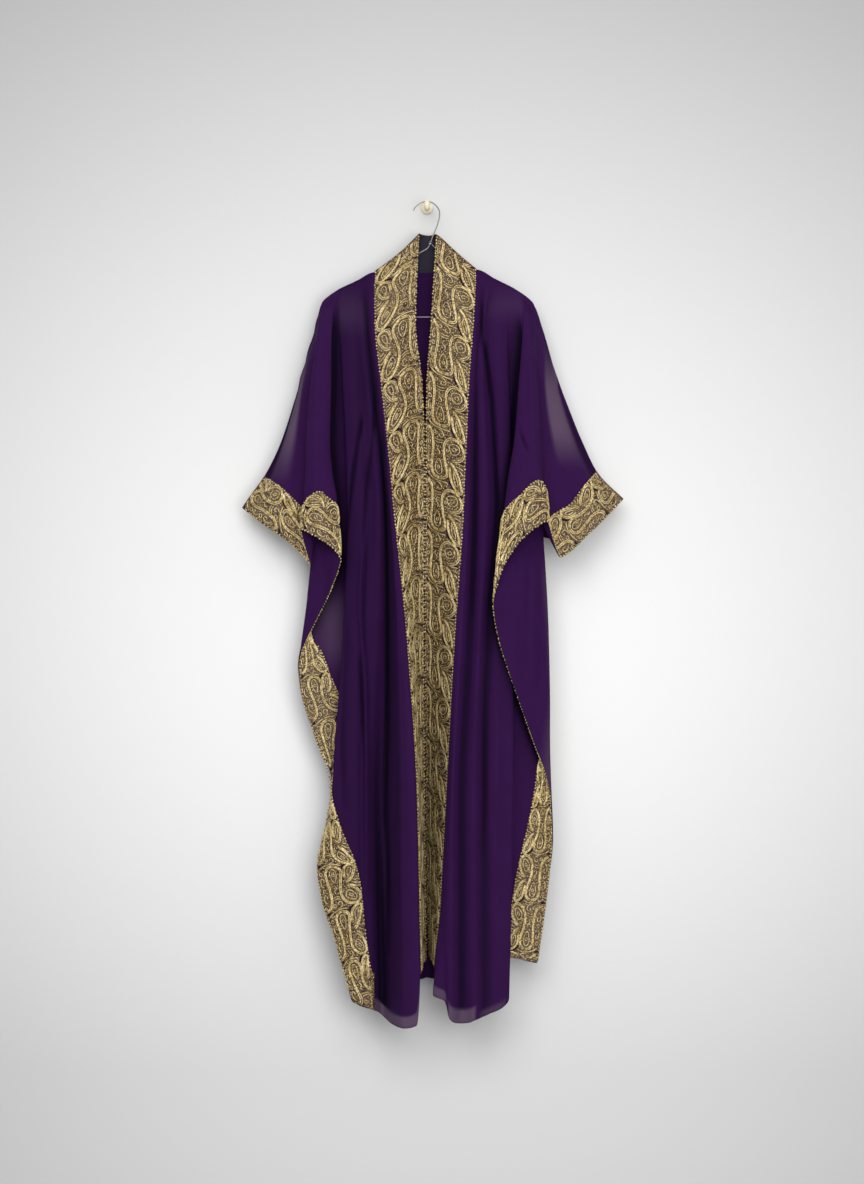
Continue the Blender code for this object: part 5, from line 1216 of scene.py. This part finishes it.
class CordWork:
    """Gathers cords laid on a band and makes one mesh of them."""

    def __init__(self, band):
        self.band, self.spots, self.faces, self.uvs, self.count = band, [], [], [], 0
        self.laid = []

    def add(self, spots, faces, uvs):
        self.spots.append(spots.reshape(-1, 3))
        self.faces += faces
        self.uvs.append(uvs)
        self.count += len(uvs)

    def lay(self, line, radius, closed, lift=CORD_LIFT):
        inside = self.band.covers(line)
        if not inside.all():
            if closed or inside.sum() < SHORTEST_CORD:
                return
            runs = np.flatnonzero(np.diff(np.concatenate([[0], inside.astype(int), [0]])))
            for a, b in zip(runs[::2], runs[1::2]):
                if b - a >= SHORTEST_CORD:
                    self.lay(line[a:b], radius, False, lift)
            return
        self.laid.append(line)
        spot, out = self.band.at(line)
        spot = spot + out * (BAND_WALL / 2 + radius * lift) * CM
        ahead = ahead_on(spot, closed)
        across = unit(np.cross(ahead, out))
        up = np.cross(across, ahead)
        n, sides = len(line), CORD_SIDES
        thick = np.ones(n)
        if not closed:
            thick[0] = thick[-1] = CORD_END
        turn = 2 * np.pi * np.arange(sides) / sides + np.pi / 2
        ring = across[:, None] * np.cos(turn)[None, :, None] + up[:, None] * np.sin(turn)[None, :, None]
        index = self.count + np.arange(n * sides).reshape(n, sides)
        here, beyond = (index, np.roll(index, -1, 0)) if closed else (index[:-1], index[1:])
        quads = np.stack([here, np.roll(here, -1, 1), np.roll(beyond, -1, 1), beyond], -1)
        ends = [] if closed else [index[0, ::-1].tolist(), index[-1].tolist()]
        uvs = np.stack(np.broadcast_arrays(run_along(line)[:, None], np.arange(sides)[None] / sides), -1)
        self.add(spot[:, None] + ring * (radius * thick)[:, None, None] * CM,
                 quads.reshape(-1, 4).tolist() + ends, uvs.reshape(-1, 2))

    def sow(self, spot, out, ahead, size):
        """Knots at the given points, each a small stone-shaped stitch."""
        axes = np.stack([np.cross(ahead, out), ahead, out], 1) * size * CM
        first = self.count + len(KNOT) * np.arange(len(spot))[:, None, None]
        faces = (first + np.array(KNOT_FACES)).reshape(-1, 3).tolist()
        self.add(spot[:, None] + np.einsum("kc,ncx->nkx", np.array(KNOT), axes), faces,
                 np.zeros((len(KNOT) * len(spot), 2)))

    def fill_with_knots(self, seed):
        """Seed stitches all over the ground that the cords leave free."""
        across, along = self.band.width, self.band.length
        taken = np.zeros((int(across / CLEAR_CELL) + 2, int(along / CLEAR_CELL) + 2), bool)
        cells = int(KNOT_CLEAR / CLEAR_CELL)
        for i in range(-cells, cells + 1):
            for j in range(-cells, cells + 1):
                if math.hypot(i, j) * CLEAR_CELL <= KNOT_CLEAR:
                    for line in self.laid:
                        at = np.round(line / CLEAR_CELL).astype(int) + (i, j)
                        at = np.clip(at, 0, np.array(taken.shape) - 1)
                        taken[at[:, 0], at[:, 1]] = True
        u, v = np.meshgrid(*(np.arange(KNOT_START, end - KNOT_START, KNOT_PITCH) for end in (across, along)))
        spots = np.stack([u, v], -1)
        spots[1::2, :, 0] += KNOT_PITCH / 2
        jitter = np.random.default_rng(seed).uniform(-KNOT_JITTER, KNOT_JITTER, (u.size, 2))
        spots = spots.reshape(-1, 2) + jitter
        spots = spots[(spots[:, 0] < across - KNOT_EDGE) & self.band.covers(spots)]
        at = np.round(spots / CLEAR_CELL).astype(int)
        self.stitch(spots[~taken[at[:, 0], at[:, 1]]], KNOT_SIZE)

    def stitch(self, places, size):
        spot, out = self.band.at(places)
        ahead = self.band.at(places + (0, STITCH_REACH))[0] - self.band.at(places - (0, STITCH_REACH))[0]
        self.sow(spot + out * (BAND_WALL / 2 + STITCH_LIFT) * CM, out, square_to(ahead, out), size)

    def edge_with_picots(self):
        """A row of small loops along each edge of the strip, uneven as handwork is."""
        along = np.arange(PICOT_START, self.band.length - PICOT_START, PICOT_PITCH)
        for edge, inwards in ((0.0, 1), (self.band.width, -1)):
            wander = 0.06 * np.sin(along * 3.7 + edge) + 0.04 * np.sin(along * 8.1)
            places = np.stack([edge + inwards * (PICOT_INSET + wander), along + wander], -1)
            self.stitch(places[self.band.covers(places)], PICOT_SIZE)

    def piece(self, name, finish):
        spots = np.concatenate(self.spots)
        made = smooth_object(name, spots.tolist(), self.faces, finish)
        unwrap(made, "thread", np.concatenate(self.uvs))
        # the cords on a band take its painted shade
        if self.band:
            paint(made, "in_fold", self.band.shade(spots))
        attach(made, "root")
        return made


# Bright metal, tarnished here and there, with painted glints and painted dark specks of shade between its
# fine wires, painted shade where a front band hangs in its deep fold, and a slanting twist
gold_cord, tree, shader = plain_material("pale_gold_cord", (0.64, 0.50, 0.23), 0.36, 0.45)
place = place_on_piece(tree)
tarnish = tones(tree, speckle(tree, place, 60.0, 3.0), (0.62, 0.47, 0.200), (0.92, 0.77, 0.44), (0.3, 0.7))
glints = tones(tree, speckle(tree, place, 330.0, 1.0), (0.42, 0.36, 0.27), (1.0, 1.0, 1.0), (0.38, 0.55))
sparkle = blended(tree, 1.0, tarnish, glints, blend_type="MULTIPLY")
set_up(tree, shader, Base_Color=blended(tree, painted(tree, "in_fold"), sparkle, (0.12, 0.075, 0.022)))
thread = add_node(tree, "UVMap", uv_map="thread").outputs["UV"]
slanted = add_node(tree, "Mapping", Vector=thread, Scale=(3.0, 1.0, 1.0), Rotation=(0, 0, math.radians(20)))
twist = add_node(tree, "TexWave", wave_type="BANDS", bands_direction="X", Scale=1.0,
                 Vector=slanted.outputs["Vector"])
emboss(tree, shader, twist.outputs["Fac"], 0.5, 0.0004)

gap_dark, tree, shader = plain_material("gap_in_gold", (0.014, 0.006, 0.016), 0.8, Specular_IOR_Level=0.1)
fluff = speckle(tree, place_on_piece(tree), 500.0, 2.0)
set_up(tree, shader, Base_Color=blended(tree, fluff, (0.010, 0.004, 0.014), (0.024, 0.011, 0.022)))


def embroider(band, start, turned, at_front):
    """The paisley repeats of one band, the first gap at `start` centimetres along it."""
    work, gaps = CordWork(band), CordWork(band)
    wide = band.width / FRONT_WIDTH
    long = REPEAT * (wide ** 0.5)
    tall = long / REPEAT

    def placed(points, k):
        points = np.array(points, float)
        if at_front:
            points[:, 0] = through(DRAWN, TURNED_IN, points[:, 0])
        return points * (wide, -tall if turned else tall) + (0.0, start + k * long)

    first = -int(math.ceil(start / long)) - 1
    for k in range(first, int((band.length - start) / long) + 3):
        for _, strands, radius, closed, points in PAISLEY:
            line = flowing(placed(points, k), closed, CORD_STEP)
            if strands == 2:
                work.lay(beside(line, radius * STRANDS_APART, closed), radius, closed)
                work.lay(beside(line, -radius * STRANDS_APART, closed), radius, closed)
            else:
                work.lay(line, radius, closed)
        for x, y, size, radius in ROSETTES:
            turn = np.linspace(0, 2 * np.pi, RING_STEPS + 1)[:-1]
            ring = placed([(x, y)], k) + size * np.stack([np.cos(turn), np.sin(turn)], -1)
            work.lay(ring, radius, True)
        for points in GAPS:
            gaps.lay(flowing(placed(points, k), False, GAP_STEP), GAP_HALF, False, GAP_LIFT)
    work.laid += gaps.laid
    work.fill_with_knots(len(band.name))
    work.edge_with_picots()
    name = band.name.replace("gold_", "gold_cord_")
    return work.piece(name, gold_cord), gaps.piece(name.replace("gold_cord", "gap"), gap_dark)


# Each strip, where its first gap lies, and whether its motif is turned and drawn to the front edge.
# The strip runs on round the neck, so that its motif stands upside down on the left.
FIRST_GAPS = (
    (left_bands[0], 4.6, True, True), (right_bands[0], 7.0, False, True),
    (left_bands[1], 3.0, False, False), (right_bands[1], 3.0, True, False),
    (left_bands[2], 2.0, False, False), (right_bands[2], 2.0, True, False),
    (back_cuff_left, 2.0, False, False), (back_cuff_right, 2.0, True, False),
    (neck_gold, 4.0, False, False),
)
cord_pieces = {band.name: embroider(band, *laid_out) for band, *laid_out in FIRST_GAPS}

# Edge beads
# Small metal beads sewn close together on the bare side edge, between the cuff and the side band.
# They are threaded on the edge itself and stand out a little from its right side.
BEAD_PITCH, BEAD_START = 0.58, 0.1
BEAD_SIZE, BEAD_LIFT = 0.16, 0.16
LEFT_BEADED, RIGHT_BEADED = (12.25, 14.0), (12.0, 13.1)


def bead_edge(front, beaded):
    work = CordWork(None)
    first, last = (front.column(position) for position in beaded)
    edge, out = front.grid[first : last + 1, -1], front.out[first : last + 1, -1]
    run = run_along(edge) / CM
    even = np.arange(BEAD_START, run[-1], BEAD_PITCH)
    spot, outward, ahead = (read_at(run, field, even) for field in (edge, out, np.gradient(edge, axis=0)))
    outward = unit(outward)
    work.sow(spot + outward * BEAD_LIFT * CM, outward, square_to(ahead, outward), BEAD_SIZE)
    return work.piece(f"gold_edge_beads_{front.side}", gold_cord)


left_beads = bead_edge(left_front, LEFT_BEADED)
right_beads = bead_edge(right_front, RIGHT_BEADED)
